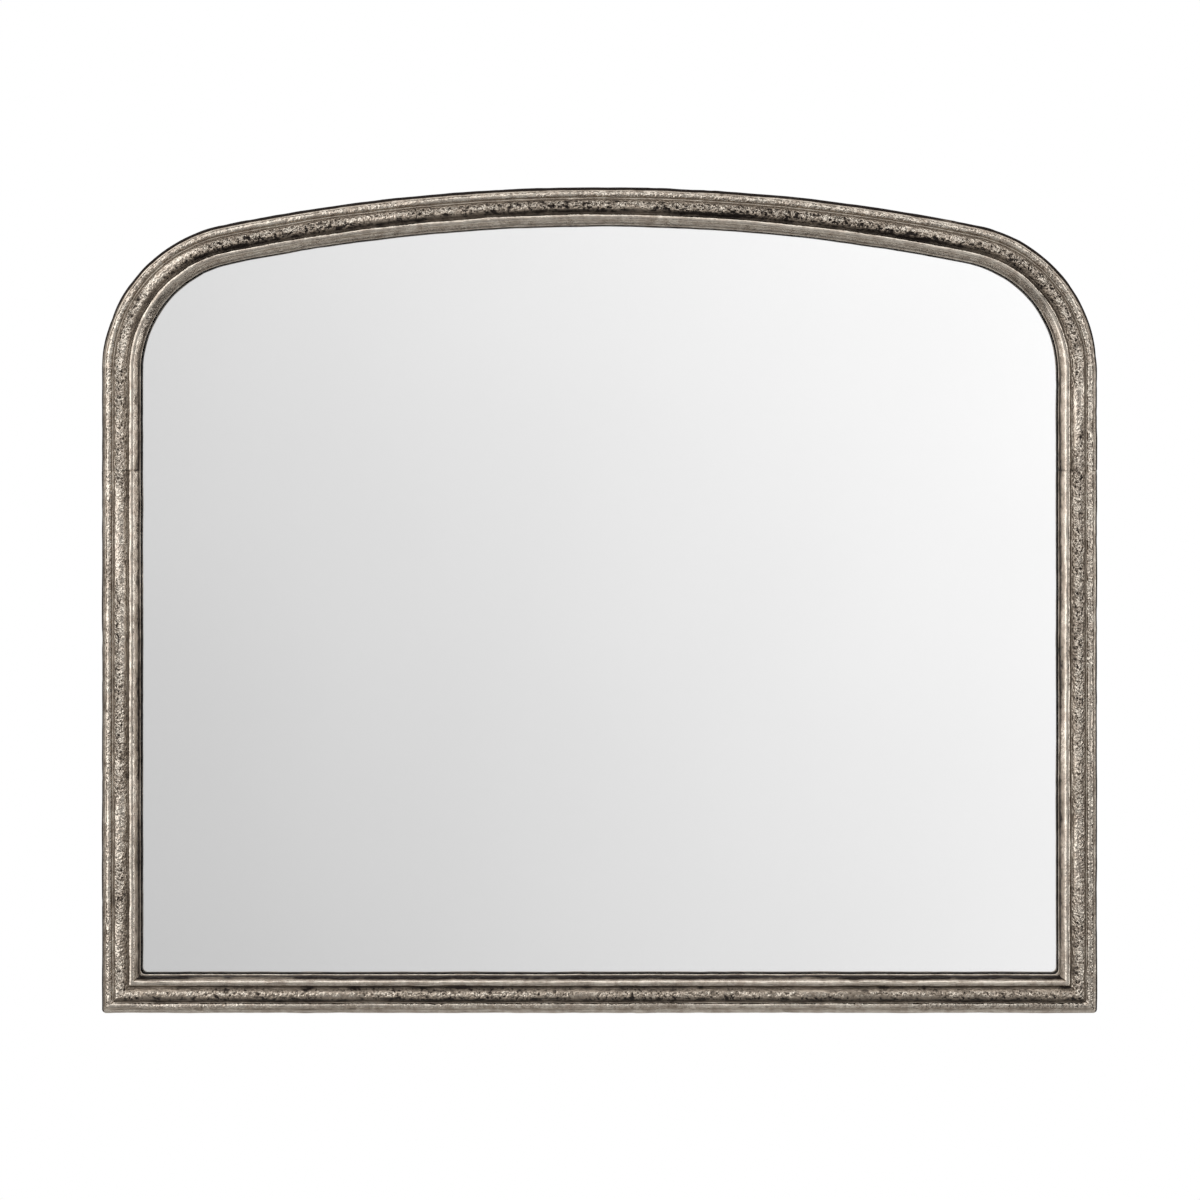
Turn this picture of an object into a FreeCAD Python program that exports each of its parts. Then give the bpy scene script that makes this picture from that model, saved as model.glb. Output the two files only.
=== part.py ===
import FreeCAD, Part
import math
import os
import types
import Sketcher

# Arched wall mirror. Millimetres, +Z up, +X to the viewer's right, the front faces -Y and the wall is the
# plane Y = 0. The origin is on the wall, midway between the two hanging rings. Heights below are measured
# from the base edge, and the placement of each piece then lowers the whole mirror to its hanging line.

SIZES = {
    # Outline of the frame
    "frame_width": 1000.0,
    "frame_height": 830.0,
    "shoulder_radius": 150.0,
    "crown_radius": 1900.0,
    "seam_drop": 285.0,
    "corner_rounding": 4.0,
    # Moulding, from the outer edge inwards
    "edge_bead_width": 3.2,
    "edge_bead_rise": 1.3,
    "fine_groove_width": 0.8,
    "outer_bead_width": 7.2,
    "outer_bead_rise": 3.2,
    "groove_width": 1.2,
    "torus_width": 14.0,
    "torus_rise": 6.2,
    "inner_bead_width": 8.4,
    "inner_bead_rise": 3.8,
    "lip_slope": 1.5,
    "lip_height": 7.0,
    # Back of the castings
    "wall_thickness": 4.5,
    "web_thickness": 4.0,
    "rebate_width": 9.0,
    # Glass and what holds it
    "tape_thickness": 1.0,
    "tape_width": 5.0,
    "tape_setback": 1.0,
    "glass_thickness": 4.0,
    "glass_edge_gap": 2.0,
    "foam_thickness": 3.0,
    "foam_setback": 2.0,
    "setting_block_length": 40.0,
    "setting_block_offset": 250.0,
    "side_packer_length": 30.0,
    "lower_packer_height": 180.0,
    "upper_packer_drop": 115.0,
    # Backing board and the points where it is screwed to the castings
    "board_thickness": 6.0,
    "board_inset": 4.0,
    "rail_inner_fixing": 130.0,
    "rail_fixing_inset": 160.0,
    "stile_lower_fixing": 130.0,
    "stile_fixing_drop": 145.0,
    "crown_fixing_angle": 6.5,
    "shoulder_fixing_angle": 45.0,
    "boss_diameter": 10.0,
    # Joint plates in the channel
    "plate_thickness": 3.0,
    "plate_side_gap": 0.5,
    "plate_end_margin": 8.0,
    "plate_hole_pitch": 20.0,
    "splice_half_length": 36.0,
    "corner_arm_length": 75.0,
    # Screws
    "screw_diameter": 3.5,
    "screw_clearance": 0.05,
    "screw_hole_gap": 0.4,
    "screw_head_diameter": 6.8,
    "screw_head_height": 2.2,
    "screw_tip_room": 0.3,
    "boss_engagement": 10.0,
    "web_engagement": 3.4,
    # Hanging straps and rings
    "strap_plate_gap": 7.0,
    "strap_width": 12.0,
    "strap_length": 52.0,
    "strap_thickness": 1.5,
    "strap_corner": 4.0,
    "strap_end_margin": 8.0,
    "strap_hole_pitch": 18.0,
    "ring_wire": 3.0,
    "ring_width": 18.0,
    "ring_side": 4.0,
    "ring_bend": 4.0,
    "ring_fit": 0.08,
    "ring_rest_gap": 0.4,
    # Wall bumpers
    "bumper_height": 8.0,
    "bumper_base_diameter": 18.0,
    "bumper_tip_diameter": 16.0,
    "bumper_inset": 45.0,
    "lower_bumper_height": 45.0,
    "upper_bumper_drop": 130.0,
}

doc = FreeCAD.newDocument("ArchedWallMirror")
sheet = doc.addObject("Spreadsheet::Sheet", "Sizes")
for row, (name, millimetres) in enumerate(SIZES.items(), start=1):
    sheet.set(f"A{row}", name)
    sheet.set(f"B{row}", str(millimetres))
    sheet.setAlias(f"B{row}", name)
doc.recompute()


class Size:
    """A number that carries the sheet expression it comes from, so that arithmetic keeps both."""

    def __init__(self, value, text):
        self.value = value
        self.text = text

    def __add__(self, other):
        return Size(self.value + number(other), f"({self.text} + {words(other)})")

    def __sub__(self, other):
        return Size(self.value - number(other), f"({self.text} - {words(other)})")

    def __mul__(self, other):
        return Size(self.value * number(other), f"({self.text} * {words(other)})")

    def __truediv__(self, other):
        return Size(self.value / number(other), f"({self.text} / {words(other)})")

    def __neg__(self):
        return Size(-self.value, f"(0 - {self.text})")


def number(size):
    """The value of a size or of a plain number."""
    return size.value if isinstance(size, Size) else size


def words(size):
    """The expression of a size or of a plain number."""
    return size.text if isinstance(size, Size) else str(size)


def sine(degrees):
    return Size(math.sin(math.radians(degrees.value)), f"sin({degrees.text} * 1 deg)")


def cosine(degrees):
    return Size(math.cos(math.radians(degrees.value)), f"cos({degrees.text} * 1 deg)")


ZERO = Size(0.0, "0")
dim = types.SimpleNamespace(**{name: Size(value, f"Sizes.{name}") for name, value in SIZES.items()})

# Outline: the crown and the shoulders are tangent, so one angle gives both ends of each arc.
half_width = dim.frame_width / 2
crown_sine = (half_width - dim.shoulder_radius) / (dim.crown_radius - dim.shoulder_radius)
crown_angle = Size(math.degrees(math.asin(crown_sine.value)), f"asin({crown_sine.text})")
crown_cosine = Size(math.cos(math.radians(crown_angle.value)), f"cos({crown_angle.text})")
crown_centre = dim.frame_height - dim.crown_radius
spring_height = crown_centre + (dim.crown_radius - dim.shoulder_radius) * crown_cosine

# The seams lie a set drop below the top of the crown, and the straps stand just above the plates behind them.
seam_height = dim.frame_height - dim.seam_drop
splice_top = seam_height + dim.splice_half_length
hang_height = splice_top + dim.strap_plate_gap + dim.strap_length

# Section of the castings: distances in from the outer edge, and heights above the plane of their backs.
face_width = (
    dim.edge_bead_width + dim.fine_groove_width + dim.outer_bead_width + dim.groove_width
    + dim.torus_width + dim.groove_width + dim.inner_bead_width + dim.lip_slope
)
rebate_depth = dim.tape_thickness + dim.glass_thickness + dim.foam_thickness
groove_floor = rebate_depth + dim.lip_height
channel_depth = groove_floor - dim.web_thickness
rebate_wall = face_width - dim.rebate_width
channel_end = rebate_wall - dim.wall_thickness
channel_middle = rebate_wall / 2

# Distances out from the wall
board_back = dim.bumper_height
frame_back = board_back + dim.board_thickness
glass_back = frame_back + dim.foam_thickness
glass_front = glass_back + dim.glass_thickness
web_back = frame_back + channel_depth
plate_back = web_back - dim.plate_thickness
strap_back = board_back - dim.strap_thickness
ring_axis_depth = strap_back - dim.ring_rest_gap - dim.ring_wire / 2


def bind(target, path, size):
    """Set one property of an object from the sheet."""
    target.setExpression(path, size.text)


def new_body(label):
    """A body whose placement lowers it from base-edge heights to the hanging line."""
    body = doc.addObject("PartDesign::Body", label)
    body.Label = label
    bind(body, "Placement.Base.z", -hang_height)
    return body


def new_sketch(body, name, plane, offset=(ZERO, ZERO, ZERO), rotation=FreeCAD.Rotation()):
    """A sketch on one of the body's own origin planes, shifted and turned in that plane's axes."""
    sketch = body.newObject("Sketcher::SketchObject", f"{body.Name}_{name}")
    support = next(item for item in body.Origin.OriginFeatures if item.Role == plane)
    sketch.AttachmentSupport = [(support, "")]
    sketch.MapMode = "FlatFace"
    sketch.AttachmentOffset = FreeCAD.Placement(FreeCAD.Vector(), rotation)
    for axis, size in zip("xyz", offset):
        bind(sketch, f"AttachmentOffset.Base.{axis}", size)
    return sketch


def upright_sketch(body, name, depth):
    """A sketch seen from the front, X to the right and heights upwards, at a distance out from the wall."""
    return new_sketch(body, name, "XZ_Plane", (ZERO, ZERO, depth))


def constrain(sketch, size, *constraint):
    """Add one dimension to a sketch and bind it to the sheet."""
    index = sketch.addConstraint(Sketcher.Constraint(*constraint, size.value))
    bind(sketch, f"Constraints[{index}]", size)


def pin_point(sketch, edge, point, x, y):
    """Hold one point of an edge at a place measured from the sketch's origin."""
    constrain(sketch, x, "DistanceX", -1, 1, edge, point)
    constrain(sketch, y, "DistanceY", -1, 1, edge, point)


def clockwise_arc(start, stop, radius):
    """The arc of under a half circle that runs clockwise from start to stop."""
    chord = stop - start
    rightwards = FreeCAD.Vector(chord.y, -chord.x, 0).normalize()
    sagitta_side = math.sqrt(radius**2 - chord.Length**2 / 4)
    centre = start + chord / 2 + rightwards * sagitta_side
    circle = Part.Circle(centre, FreeCAD.Vector(0, 0, 1), radius)
    return Part.ArcOfCircle(circle, circle.parameter(stop), circle.parameter(start))


def draw_outline(sketch, corners):
    """Draw a closed outline. Each corner is x, y and the radius of the clockwise arc after it, or None."""
    edges = []
    for (x, y, radius), (next_x, next_y, _) in zip(corners, corners[1:] + corners[:1]):
        start = FreeCAD.Vector(x.value, y.value, 0)
        stop = FreeCAD.Vector(next_x.value, next_y.value, 0)
        if radius is None:
            edges.append((sketch.addGeometry(Part.LineSegment(start, stop), False), 1, 2))
        else:
            edges.append((sketch.addGeometry(clockwise_arc(start, stop, radius.value), False), 2, 1))
    for (edge, first, _), (previous, _, last), (x, y, radius) in zip(edges, edges[-1:] + edges[:-1], corners):
        sketch.addConstraint(Sketcher.Constraint("Coincident", previous, last, edge, first))
        pin_point(sketch, edge, first, x, y)
        if radius is not None:
            constrain(sketch, radius, "Radius", edge)


def draw_circles(sketch, centres, diameter):
    """Draw one circle at each centre."""
    for x, y in centres:
        middle = FreeCAD.Vector(x.value, y.value, 0)
        circle = Part.Circle(middle, FreeCAD.Vector(0, 0, 1), diameter.value / 2)
        edge = sketch.addGeometry(circle, False)
        pin_point(sketch, edge, 3, x, y)
        constrain(sketch, diameter, "Diameter", edge)


def draw_axis(sketch, x, length):
    """Draw an upright construction line that a revolution turns about."""
    foot = FreeCAD.Vector(x.value, 0, 0)
    top = FreeCAD.Vector(x.value, length.value, 0)
    line = sketch.addGeometry(Part.LineSegment(foot, top), True)
    pin_point(sketch, line, 1, x, ZERO)
    pin_point(sketch, line, 2, x, length)


def add_pad(body, name, sketch, length, backwards=False, symmetric=False):
    """Pad a sketch along its normal, or backwards, or evenly to both sides."""
    pad = body.newObject("PartDesign::Pad", f"{body.Name}_{name}")
    pad.Profile = sketch
    pad.Reversed = backwards
    if symmetric:
        pad.SideType = "Symmetric"
    bind(pad, "Length", length)
    doc.recompute()
    return pad


def cut_pocket(body, name, sketch, length=None, symmetric=False):
    """Cut a sketch along its normal, for a length or right through, and see that it removes material."""
    before = body.Shape.Volume
    pocket = body.newObject("PartDesign::Pocket", f"{body.Name}_{name}")
    pocket.Profile = sketch
    pocket.Reversed = True
    if symmetric:
        pocket.SideType = "Symmetric"
    if length is None:
        pocket.Type = "ThroughAll"
    else:
        bind(pocket, "Length", length)
    doc.recompute()
    if not body.Shape.Volume < before:
        raise ValueError(f"{pocket.Name} cuts nothing")
    return pocket


def add_revolution(body, name, sketch, degrees, symmetric=False):
    """Turn a sketch about its construction line."""
    revolution = body.newObject("PartDesign::Revolution", f"{body.Name}_{name}")
    revolution.Profile = sketch
    revolution.ReferenceAxis = (sketch, ["Axis0"])
    revolution.Midplane = symmetric
    revolution.Reversed = True
    bind(revolution, "Angle", degrees)
    doc.recompute()
    return revolution


def mirror_to_right(left, label):
    """The right-hand twin of a left-hand piece."""
    twin = doc.addObject("Part::Mirroring", label)
    twin.Label = label
    twin.Source = left
    twin.Normal = FreeCAD.Vector(1, 0, 0)
    return twin


def both_sides(places):
    """The places given on the left, with their mirror images on the right."""
    return [place for x, z in places for place in ((x, z), (-x, z))]


def arch_outline(inset):
    """The mirror's arched outline, drawn in from the frame's outer edge by an equal distance all round."""
    side = half_width - inset
    shoulder = dim.shoulder_radius - inset
    crown = dim.crown_radius - inset
    tangent_x = crown * crown_sine
    tangent_z = crown_centre + crown * crown_cosine
    return [
        (-side, inset, None),
        (-side, spring_height, shoulder),
        (-tangent_x, tangent_z, crown),
        (tangent_x, tangent_z, shoulder),
        (side, spring_height, None),
        (side, inset, None),
    ]


def section_outline():
    """The castings' section: four reeds on a common floor, the lip, the rebate and the hollow channel."""
    reeds = [
        (dim.edge_bead_width, dim.edge_bead_rise, dim.fine_groove_width),
        (dim.outer_bead_width, dim.outer_bead_rise, dim.groove_width),
        (dim.torus_width, dim.torus_rise, dim.groove_width),
        (dim.inner_bead_width, dim.inner_bead_rise, dim.lip_slope),
    ]
    corners = [(ZERO, ZERO, None)]
    across = ZERO
    for width, rise, gap in reeds:
        radius = width * width / (rise * 8) + rise / 2
        corners.append((across, groove_floor, radius))
        corners.append((across + width, groove_floor, None))
        across = across + width + gap
    return corners + [
        (face_width, rebate_depth, None),
        (rebate_wall, rebate_depth, None),
        (rebate_wall, ZERO, None),
        (channel_end, ZERO, None),
        (channel_end, channel_depth, None),
        (dim.wall_thickness, channel_depth, None),
        (dim.wall_thickness, ZERO, None),
    ]


# Turns of the section sketch, in the axes of its plane, so that it runs inwards and then forwards.
INWARDS_FROM_LEFT = FreeCAD.Rotation(FreeCAD.Vector(1, 0, 0), 180)
INWARDS_FROM_BASE = FreeCAD.Rotation(FreeCAD.Vector(0, 0, 1), 90)
INWARDS_FROM_CROWN = FreeCAD.Rotation(FreeCAD.Vector(1, -1, 0), 180)


def side_section(body, height):
    """The section on a level plane, at the left side."""
    sketch = new_sketch(
        body, "side_section", "XY_Plane", (-half_width, -frame_back, height), INWARDS_FROM_LEFT
    )
    draw_outline(sketch, section_outline())
    return sketch


# Places of the screws, as x and height. Each list serves the bosses, the holes and the screws alike.
stile_middle = channel_middle - half_width
crown_fixing_reach = dim.crown_radius - channel_middle
shoulder_fixing_reach = dim.shoulder_radius - channel_middle
rail_fixings = both_sides(
    [(-dim.rail_inner_fixing, channel_middle), (dim.rail_fixing_inset - half_width, channel_middle)]
)
left_stile_fixings = [
    (stile_middle, dim.stile_lower_fixing),
    (stile_middle, seam_height - dim.stile_fixing_drop),
]
crown_side_fixing = (
    -crown_fixing_reach * sine(dim.crown_fixing_angle),
    crown_centre + crown_fixing_reach * cosine(dim.crown_fixing_angle),
)
shoulder_fixing = (
    dim.shoulder_radius - half_width - shoulder_fixing_reach * cosine(dim.shoulder_fixing_angle),
    spring_height + shoulder_fixing_reach * sine(dim.shoulder_fixing_angle),
)
arch_fixings = [(ZERO, dim.frame_height - channel_middle)] + both_sides([crown_side_fixing, shoulder_fixing])
board_fixings = rail_fixings + both_sides(left_stile_fixings) + arch_fixings

lower_strap_hole = hang_height - dim.strap_length + dim.strap_end_margin
left_hanger_fixings = [
    (stile_middle, lower_strap_hole),
    (stile_middle, lower_strap_hole + dim.strap_hole_pitch),
]
hanger_fixings = both_sides(left_hanger_fixings)

splice_far = dim.splice_half_length - dim.plate_end_margin
splice_near = splice_far - dim.plate_hole_pitch
upper_splice_holes = [
    (stile_middle, seam_height + splice_near),
    (stile_middle, seam_height + splice_far),
]
lower_splice_holes = [
    (stile_middle, seam_height - splice_near),
    (stile_middle, seam_height - splice_far),
]
plate_edge = dim.wall_thickness + dim.plate_side_gap
corner_far = plate_edge + dim.corner_arm_length - dim.plate_end_margin
corner_near = corner_far - dim.plate_hole_pitch
stile_corner_holes = [(stile_middle, corner_near), (stile_middle, corner_far)]
rail_corner_holes = [(corner_near - half_width, channel_middle), (corner_far - half_width, channel_middle)]

screw_bore = dim.screw_diameter + dim.screw_clearance * 2
screw_hole = dim.screw_diameter + dim.screw_hole_gap * 2
boss_pilot_depth = dim.boss_engagement + dim.screw_tip_room
web_pilot_depth = dim.web_engagement + dim.screw_tip_room


def add_bosses(body, fixings):
    """Round bosses across the channel, drilled for the screws that come through the board."""
    posts = upright_sketch(body, "bosses", frame_back)
    draw_circles(posts, fixings, dim.boss_diameter)
    add_pad(body, "boss_pad", posts, channel_depth)
    bores = upright_sketch(body, "boss_bores", frame_back)
    draw_circles(bores, fixings, screw_bore)
    cut_pocket(body, "boss_pilots", bores, boss_pilot_depth)


def drill_web(body, holes):
    """Pilot holes in the floor of the channel for the joint plates' screws."""
    bores = upright_sketch(body, "web_bores", web_back)
    draw_circles(bores, holes, screw_bore)
    cut_pocket(body, "web_pilots", bores, web_pilot_depth)


def round_lower_corners(body, signs):
    """Round the frame's outer lower corners, on the left (-1) and the right (1)."""
    sketch = upright_sketch(body, "corner_rounding", frame_back)
    for sign in signs:
        corner = half_width * sign
        on_base = (corner - dim.corner_rounding * sign, ZERO)
        on_side = (corner, dim.corner_rounding)
        first, last = (on_base, on_side) if sign < 0 else (on_side, on_base)
        draw_outline(sketch, [(corner, ZERO, None), (*first, dim.corner_rounding), (*last, None)])
    cut_pocket(body, "corner_cut", sketch)


def build_arch_casting():
    """Crown, shoulders and the short straight ends, in one casting."""
    body = new_body("arch_casting")
    crown = new_sketch(
        body, "crown_section", "YZ_Plane", (-frame_back, dim.frame_height, ZERO), INWARDS_FROM_CROWN
    )
    draw_outline(crown, section_outline())
    draw_axis(crown, dim.crown_radius, groove_floor)
    add_revolution(body, "crown", crown, crown_angle * 2, symmetric=True)
    side = side_section(body, spring_height)
    draw_axis(side, dim.shoulder_radius, groove_floor)
    shoulder = add_revolution(body, "shoulder", side, Size(90.0, "90 deg") - crown_angle)
    leg = add_pad(body, "leg", side, spring_height - seam_height)
    twins = body.newObject("PartDesign::Mirrored", "arch_casting_right_side")
    twins.Originals = [shoulder, leg]
    middle_plane = next(item for item in body.Origin.OriginFeatures if item.Role == "YZ_Plane")
    twins.MirrorPlane = (middle_plane, [""])
    body.Tip = twins
    doc.recompute()
    add_bosses(body, arch_fixings + hanger_fixings)
    drill_web(body, both_sides(upper_splice_holes))
    return body


def build_left_stile():
    """Straight side casting, from the seam down to the lower mitre."""
    body = new_body("left_stile")
    add_pad(body, "length", side_section(body, seam_height), seam_height)
    reach = face_width * 2
    mitre = upright_sketch(body, "mitre", frame_back)
    draw_outline(
        mitre,
        [(-half_width, ZERO, None), (reach - half_width, reach, None), (reach - half_width, ZERO, None)],
    )
    cut_pocket(body, "mitre_cut", mitre)
    round_lower_corners(body, [-1])
    add_bosses(body, left_stile_fixings)
    drill_web(body, lower_splice_holes + stile_corner_holes)
    return body


def build_bottom_rail():
    """Base casting, mitred at both ends."""
    body = new_body("bottom_rail")
    section = new_sketch(body, "section", "YZ_Plane", (-frame_back, ZERO, ZERO), INWARDS_FROM_BASE)
    draw_outline(section, section_outline())
    add_pad(body, "length", section, dim.frame_width, symmetric=True)
    reach = face_width * 2
    mitres = upright_sketch(body, "mitres", frame_back)
    for sign in (-1, 1):
        corner = half_width * sign
        inner = corner - reach * sign
        draw_outline(mitres, [(corner, ZERO, None), (corner, reach, None), (inner, reach, None)])
    cut_pocket(body, "mitre_cuts", mitres)
    round_lower_corners(body, [-1, 1])
    add_bosses(body, rail_fixings)
    drill_web(body, both_sides(rail_corner_holes))
    return body


def build_left_splice_plate():
    """Steel flat that bridges the seam inside the channel."""
    body = new_body("left_splice_plate")
    left = plate_edge - half_width
    right = channel_end - dim.plate_side_gap - half_width
    bottom = seam_height - dim.splice_half_length
    flat = upright_sketch(body, "flat", plate_back)
    draw_outline(
        flat,
        [(left, bottom, None), (left, splice_top, None), (right, splice_top, None), (right, bottom, None)],
    )
    add_pad(body, "plate", flat, dim.plate_thickness)
    holes = upright_sketch(body, "holes", plate_back)
    draw_circles(holes, upper_splice_holes + lower_splice_holes, screw_hole)
    cut_pocket(body, "drilling", holes)
    return body


def build_left_corner_plate():
    """Steel angle that ties the mitre inside the channel."""
    body = new_body("left_corner_plate")
    inner_edge = channel_end - dim.plate_side_gap
    tip = plate_edge + dim.corner_arm_length
    angle = upright_sketch(body, "angle", plate_back)
    draw_outline(
        angle,
        [
            (plate_edge - half_width, plate_edge, None),
            (plate_edge - half_width, tip, None),
            (inner_edge - half_width, tip, None),
            (inner_edge - half_width, inner_edge, None),
            (tip - half_width, inner_edge, None),
            (tip - half_width, plate_edge, None),
        ],
    )
    add_pad(body, "plate", angle, dim.plate_thickness)
    holes = upright_sketch(body, "holes", plate_back)
    draw_circles(holes, stile_corner_holes + rail_corner_holes, screw_hole)
    cut_pocket(body, "drilling", holes)
    return body


def build_screws(label, places, head_seat, shank_length):
    """Pan-head screws, one at each place, with their heads seated at a distance out from the wall."""
    body = new_body(label)
    body.AllowCompound = True
    shanks = upright_sketch(body, "shanks", head_seat)
    draw_circles(shanks, places, dim.screw_diameter)
    add_pad(body, "shank_pad", shanks, shank_length)
    heads = upright_sketch(body, "heads", head_seat)
    draw_circles(heads, places, dim.screw_head_diameter)
    add_pad(body, "head_pad", heads, dim.screw_head_height, backwards=True)
    return body


def build_sheet(label, back, thickness, inset):
    """A flat sheet in the mirror's arched outline."""
    body = new_body(label)
    outline = upright_sketch(body, "outline", back)
    draw_outline(outline, arch_outline(inset))
    add_pad(body, "sheet", outline, thickness)
    return body


def build_bedding_tape():
    """Felt tape round the front of the glass, under the lip."""
    sight = face_width - dim.tape_setback
    body = build_sheet("bedding_tape", glass_front, dim.tape_thickness, sight - dim.tape_width)
    opening = upright_sketch(body, "opening", glass_front)
    draw_outline(opening, arch_outline(sight))
    cut_pocket(body, "opening_cut", opening)
    return body


def build_backing_board():
    """Board that closes the back, drilled for its own screws and for the hangers' screws."""
    body = build_sheet("backing_board", board_back, dim.board_thickness, dim.board_inset)
    holes = upright_sketch(body, "holes", board_back)
    draw_circles(holes, board_fixings + hanger_fixings, screw_hole)
    cut_pocket(body, "drilling", holes)
    return body


def build_block(label, corner, lengths):
    """A plain block of rubber, from its left, front, lower corner, with lengths along X, Y and Z."""
    block = doc.addObject("Part::Box", label)
    block.Label = label
    for axis, place in zip("xyz", corner):
        bind(block, f"Placement.Base.{axis}", place)
    for side, length in zip(("Length", "Width", "Height"), lengths):
        bind(block, side, length)
    return block


def build_left_setting_block():
    """Rubber block under the glass, on the rebate of the bottom rail."""
    left = -dim.setting_block_offset - dim.setting_block_length / 2
    return build_block(
        "left_setting_block",
        (left, -glass_front, rebate_wall - hang_height),
        (dim.setting_block_length, dim.glass_thickness, dim.glass_edge_gap),
    )


def build_left_packer(label, height):
    """Rubber piece between the edge of the glass and the rebate of the left stile."""
    foot = height - dim.side_packer_length / 2 - hang_height
    return build_block(
        label,
        (rebate_wall - half_width, -glass_front, foot),
        (dim.glass_edge_gap, dim.glass_thickness, dim.side_packer_length),
    )


def build_left_hanger_strap():
    """Folded strap: a flat plate on the board, and a curl at its top round the ring's bar."""
    body = new_body("left_hanger_strap")
    left = stile_middle - dim.strap_width / 2
    right = stile_middle + dim.strap_width / 2
    foot = hang_height - dim.strap_length
    plate = upright_sketch(body, "plate", board_back)
    draw_outline(
        plate,
        [
            (left, foot + dim.strap_corner, None),
            (left, hang_height, None),
            (right, hang_height, None),
            (right, foot + dim.strap_corner, dim.strap_corner),
            (right - dim.strap_corner, foot, None),
            (left + dim.strap_corner, foot, dim.strap_corner),
        ],
    )
    add_pad(body, "flat", plate, dim.strap_thickness, backwards=True)
    curl_bore = dim.ring_wire + dim.ring_fit * 2
    axis_place = [(-ring_axis_depth, hang_height)]
    curl = new_sketch(body, "curl", "YZ_Plane", (ZERO, ZERO, stile_middle))
    draw_circles(curl, axis_place, curl_bore + dim.strap_thickness * 2)
    add_pad(body, "curl_pad", curl, dim.strap_width, symmetric=True)
    eye = new_sketch(body, "eye", "YZ_Plane", (ZERO, ZERO, stile_middle))
    draw_circles(eye, axis_place, curl_bore)
    cut_pocket(body, "eye_cut", eye, dim.strap_width * 2, symmetric=True)
    holes = upright_sketch(body, "holes", strap_back)
    draw_circles(holes, left_hanger_fixings, screw_hole)
    cut_pocket(body, "drilling", holes)
    return body


def build_left_hanging_ring():
    """D-shaped wire ring: a bar in the strap's curl, two bends, two short sides and a round bow."""
    body = new_body("left_hanging_ring")
    half_ring = (dim.ring_width + dim.ring_wire) / 2
    bar_end = half_ring - dim.ring_bend
    bend_foot = hang_height - dim.ring_bend
    bow_top = bend_foot - dim.ring_side
    path = upright_sketch(body, "path", ring_axis_depth)
    draw_outline(
        path,
        [
            (stile_middle, hang_height, None),
            (stile_middle + bar_end, hang_height, dim.ring_bend),
            (stile_middle + half_ring, bend_foot, None),
            (stile_middle + half_ring, bow_top, half_ring),
            (stile_middle, bow_top - half_ring, half_ring),
            (stile_middle - half_ring, bow_top, None),
            (stile_middle - half_ring, bend_foot, dim.ring_bend),
            (stile_middle - bar_end, hang_height, None),
        ],
    )
    wire = new_sketch(body, "wire", "YZ_Plane", (ZERO, ZERO, stile_middle))
    draw_circles(wire, [(-ring_axis_depth, hang_height)], dim.ring_wire)
    pipe = body.newObject("PartDesign::AdditivePipe", "left_hanging_ring_pipe")
    pipe.Profile = wire
    pipe.Spine = (path, [])
    doc.recompute()
    return body


def build_left_bumper(label, height):
    """Rubber foot on the board, narrowing to the wall."""
    bumper = doc.addObject("Part::Cone", label)
    bumper.Label = label
    bumper.Placement = FreeCAD.Placement(
        FreeCAD.Vector(), FreeCAD.Rotation(FreeCAD.Vector(1, 0, 0), -90)
    )
    bind(bumper, "Placement.Base.x", dim.bumper_inset - half_width)
    bind(bumper, "Placement.Base.y", -board_back)
    bind(bumper, "Placement.Base.z", height - hang_height)
    bind(bumper, "Radius1", dim.bumper_base_diameter / 2)
    bind(bumper, "Radius2", dim.bumper_tip_diameter / 2)
    bind(bumper, "Height", dim.bumper_height)
    return bumper


left_pieces = [
    build_left_stile(),
    build_left_splice_plate(),
    build_left_corner_plate(),
    build_left_setting_block(),
    build_left_packer("left_lower_packer", dim.lower_packer_height),
    build_left_packer("left_upper_packer", seam_height - dim.upper_packer_drop),
    build_left_hanger_strap(),
    build_left_hanging_ring(),
    build_left_bumper("left_lower_bumper", dim.lower_bumper_height),
    build_left_bumper("left_upper_bumper", dim.frame_height - dim.upper_bumper_drop),
]
right_pieces = [mirror_to_right(piece, piece.Label.replace("left", "right")) for piece in left_pieces]
plate_screw_places = both_sides(
    upper_splice_holes + lower_splice_holes + stile_corner_holes + rail_corner_holes
)
middle_pieces = [
    build_arch_casting(),
    build_bottom_rail(),
    build_sheet("mirror_glass", glass_back, dim.glass_thickness, rebate_wall + dim.glass_edge_gap),
    build_bedding_tape(),
    build_sheet(
        "foam_sheet", frame_back, dim.foam_thickness, rebate_wall + dim.glass_edge_gap + dim.foam_setback
    ),
    build_backing_board(),
    build_screws(
        "plate_screws", plate_screw_places, plate_back, dim.plate_thickness + dim.web_engagement
    ),
    build_screws("board_screws", board_fixings, board_back, dim.board_thickness + dim.boss_engagement),
    build_screws(
        "hanger_screws",
        hanger_fixings,
        strap_back,
        dim.strap_thickness + dim.board_thickness + dim.boss_engagement,
    ),
]
pieces = middle_pieces + left_pieces + right_pieces

doc.recompute()
for item in doc.Objects:
    if "Invalid" in item.State or "Error" in item.State:
        raise ValueError(f"{item.Name} did not recompute: {item.State}")
for piece in pieces:
    if piece.Shape.isNull() or not piece.Shape.isValid() or not piece.Shape.Solids:
        raise ValueError(f"{piece.Label} has no valid solid")

os.makedirs("parts", exist_ok=True)
for piece in pieces:
    piece.Shape.exportStep(os.path.join("parts", f"{piece.Label}.step"))
    box = piece.Shape.BoundBox
    print(f"{piece.Label}: {len(piece.Shape.Solids)} solid(s), {piece.Shape.Volume / 1000:.1f} cm3, "
          f"{box.XLength:.1f} x {box.YLength:.1f} x {box.ZLength:.1f} mm")
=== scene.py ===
import logging
import math
from dataclasses import dataclass, field
from enum import Enum, IntEnum
from typing import Any

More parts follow.
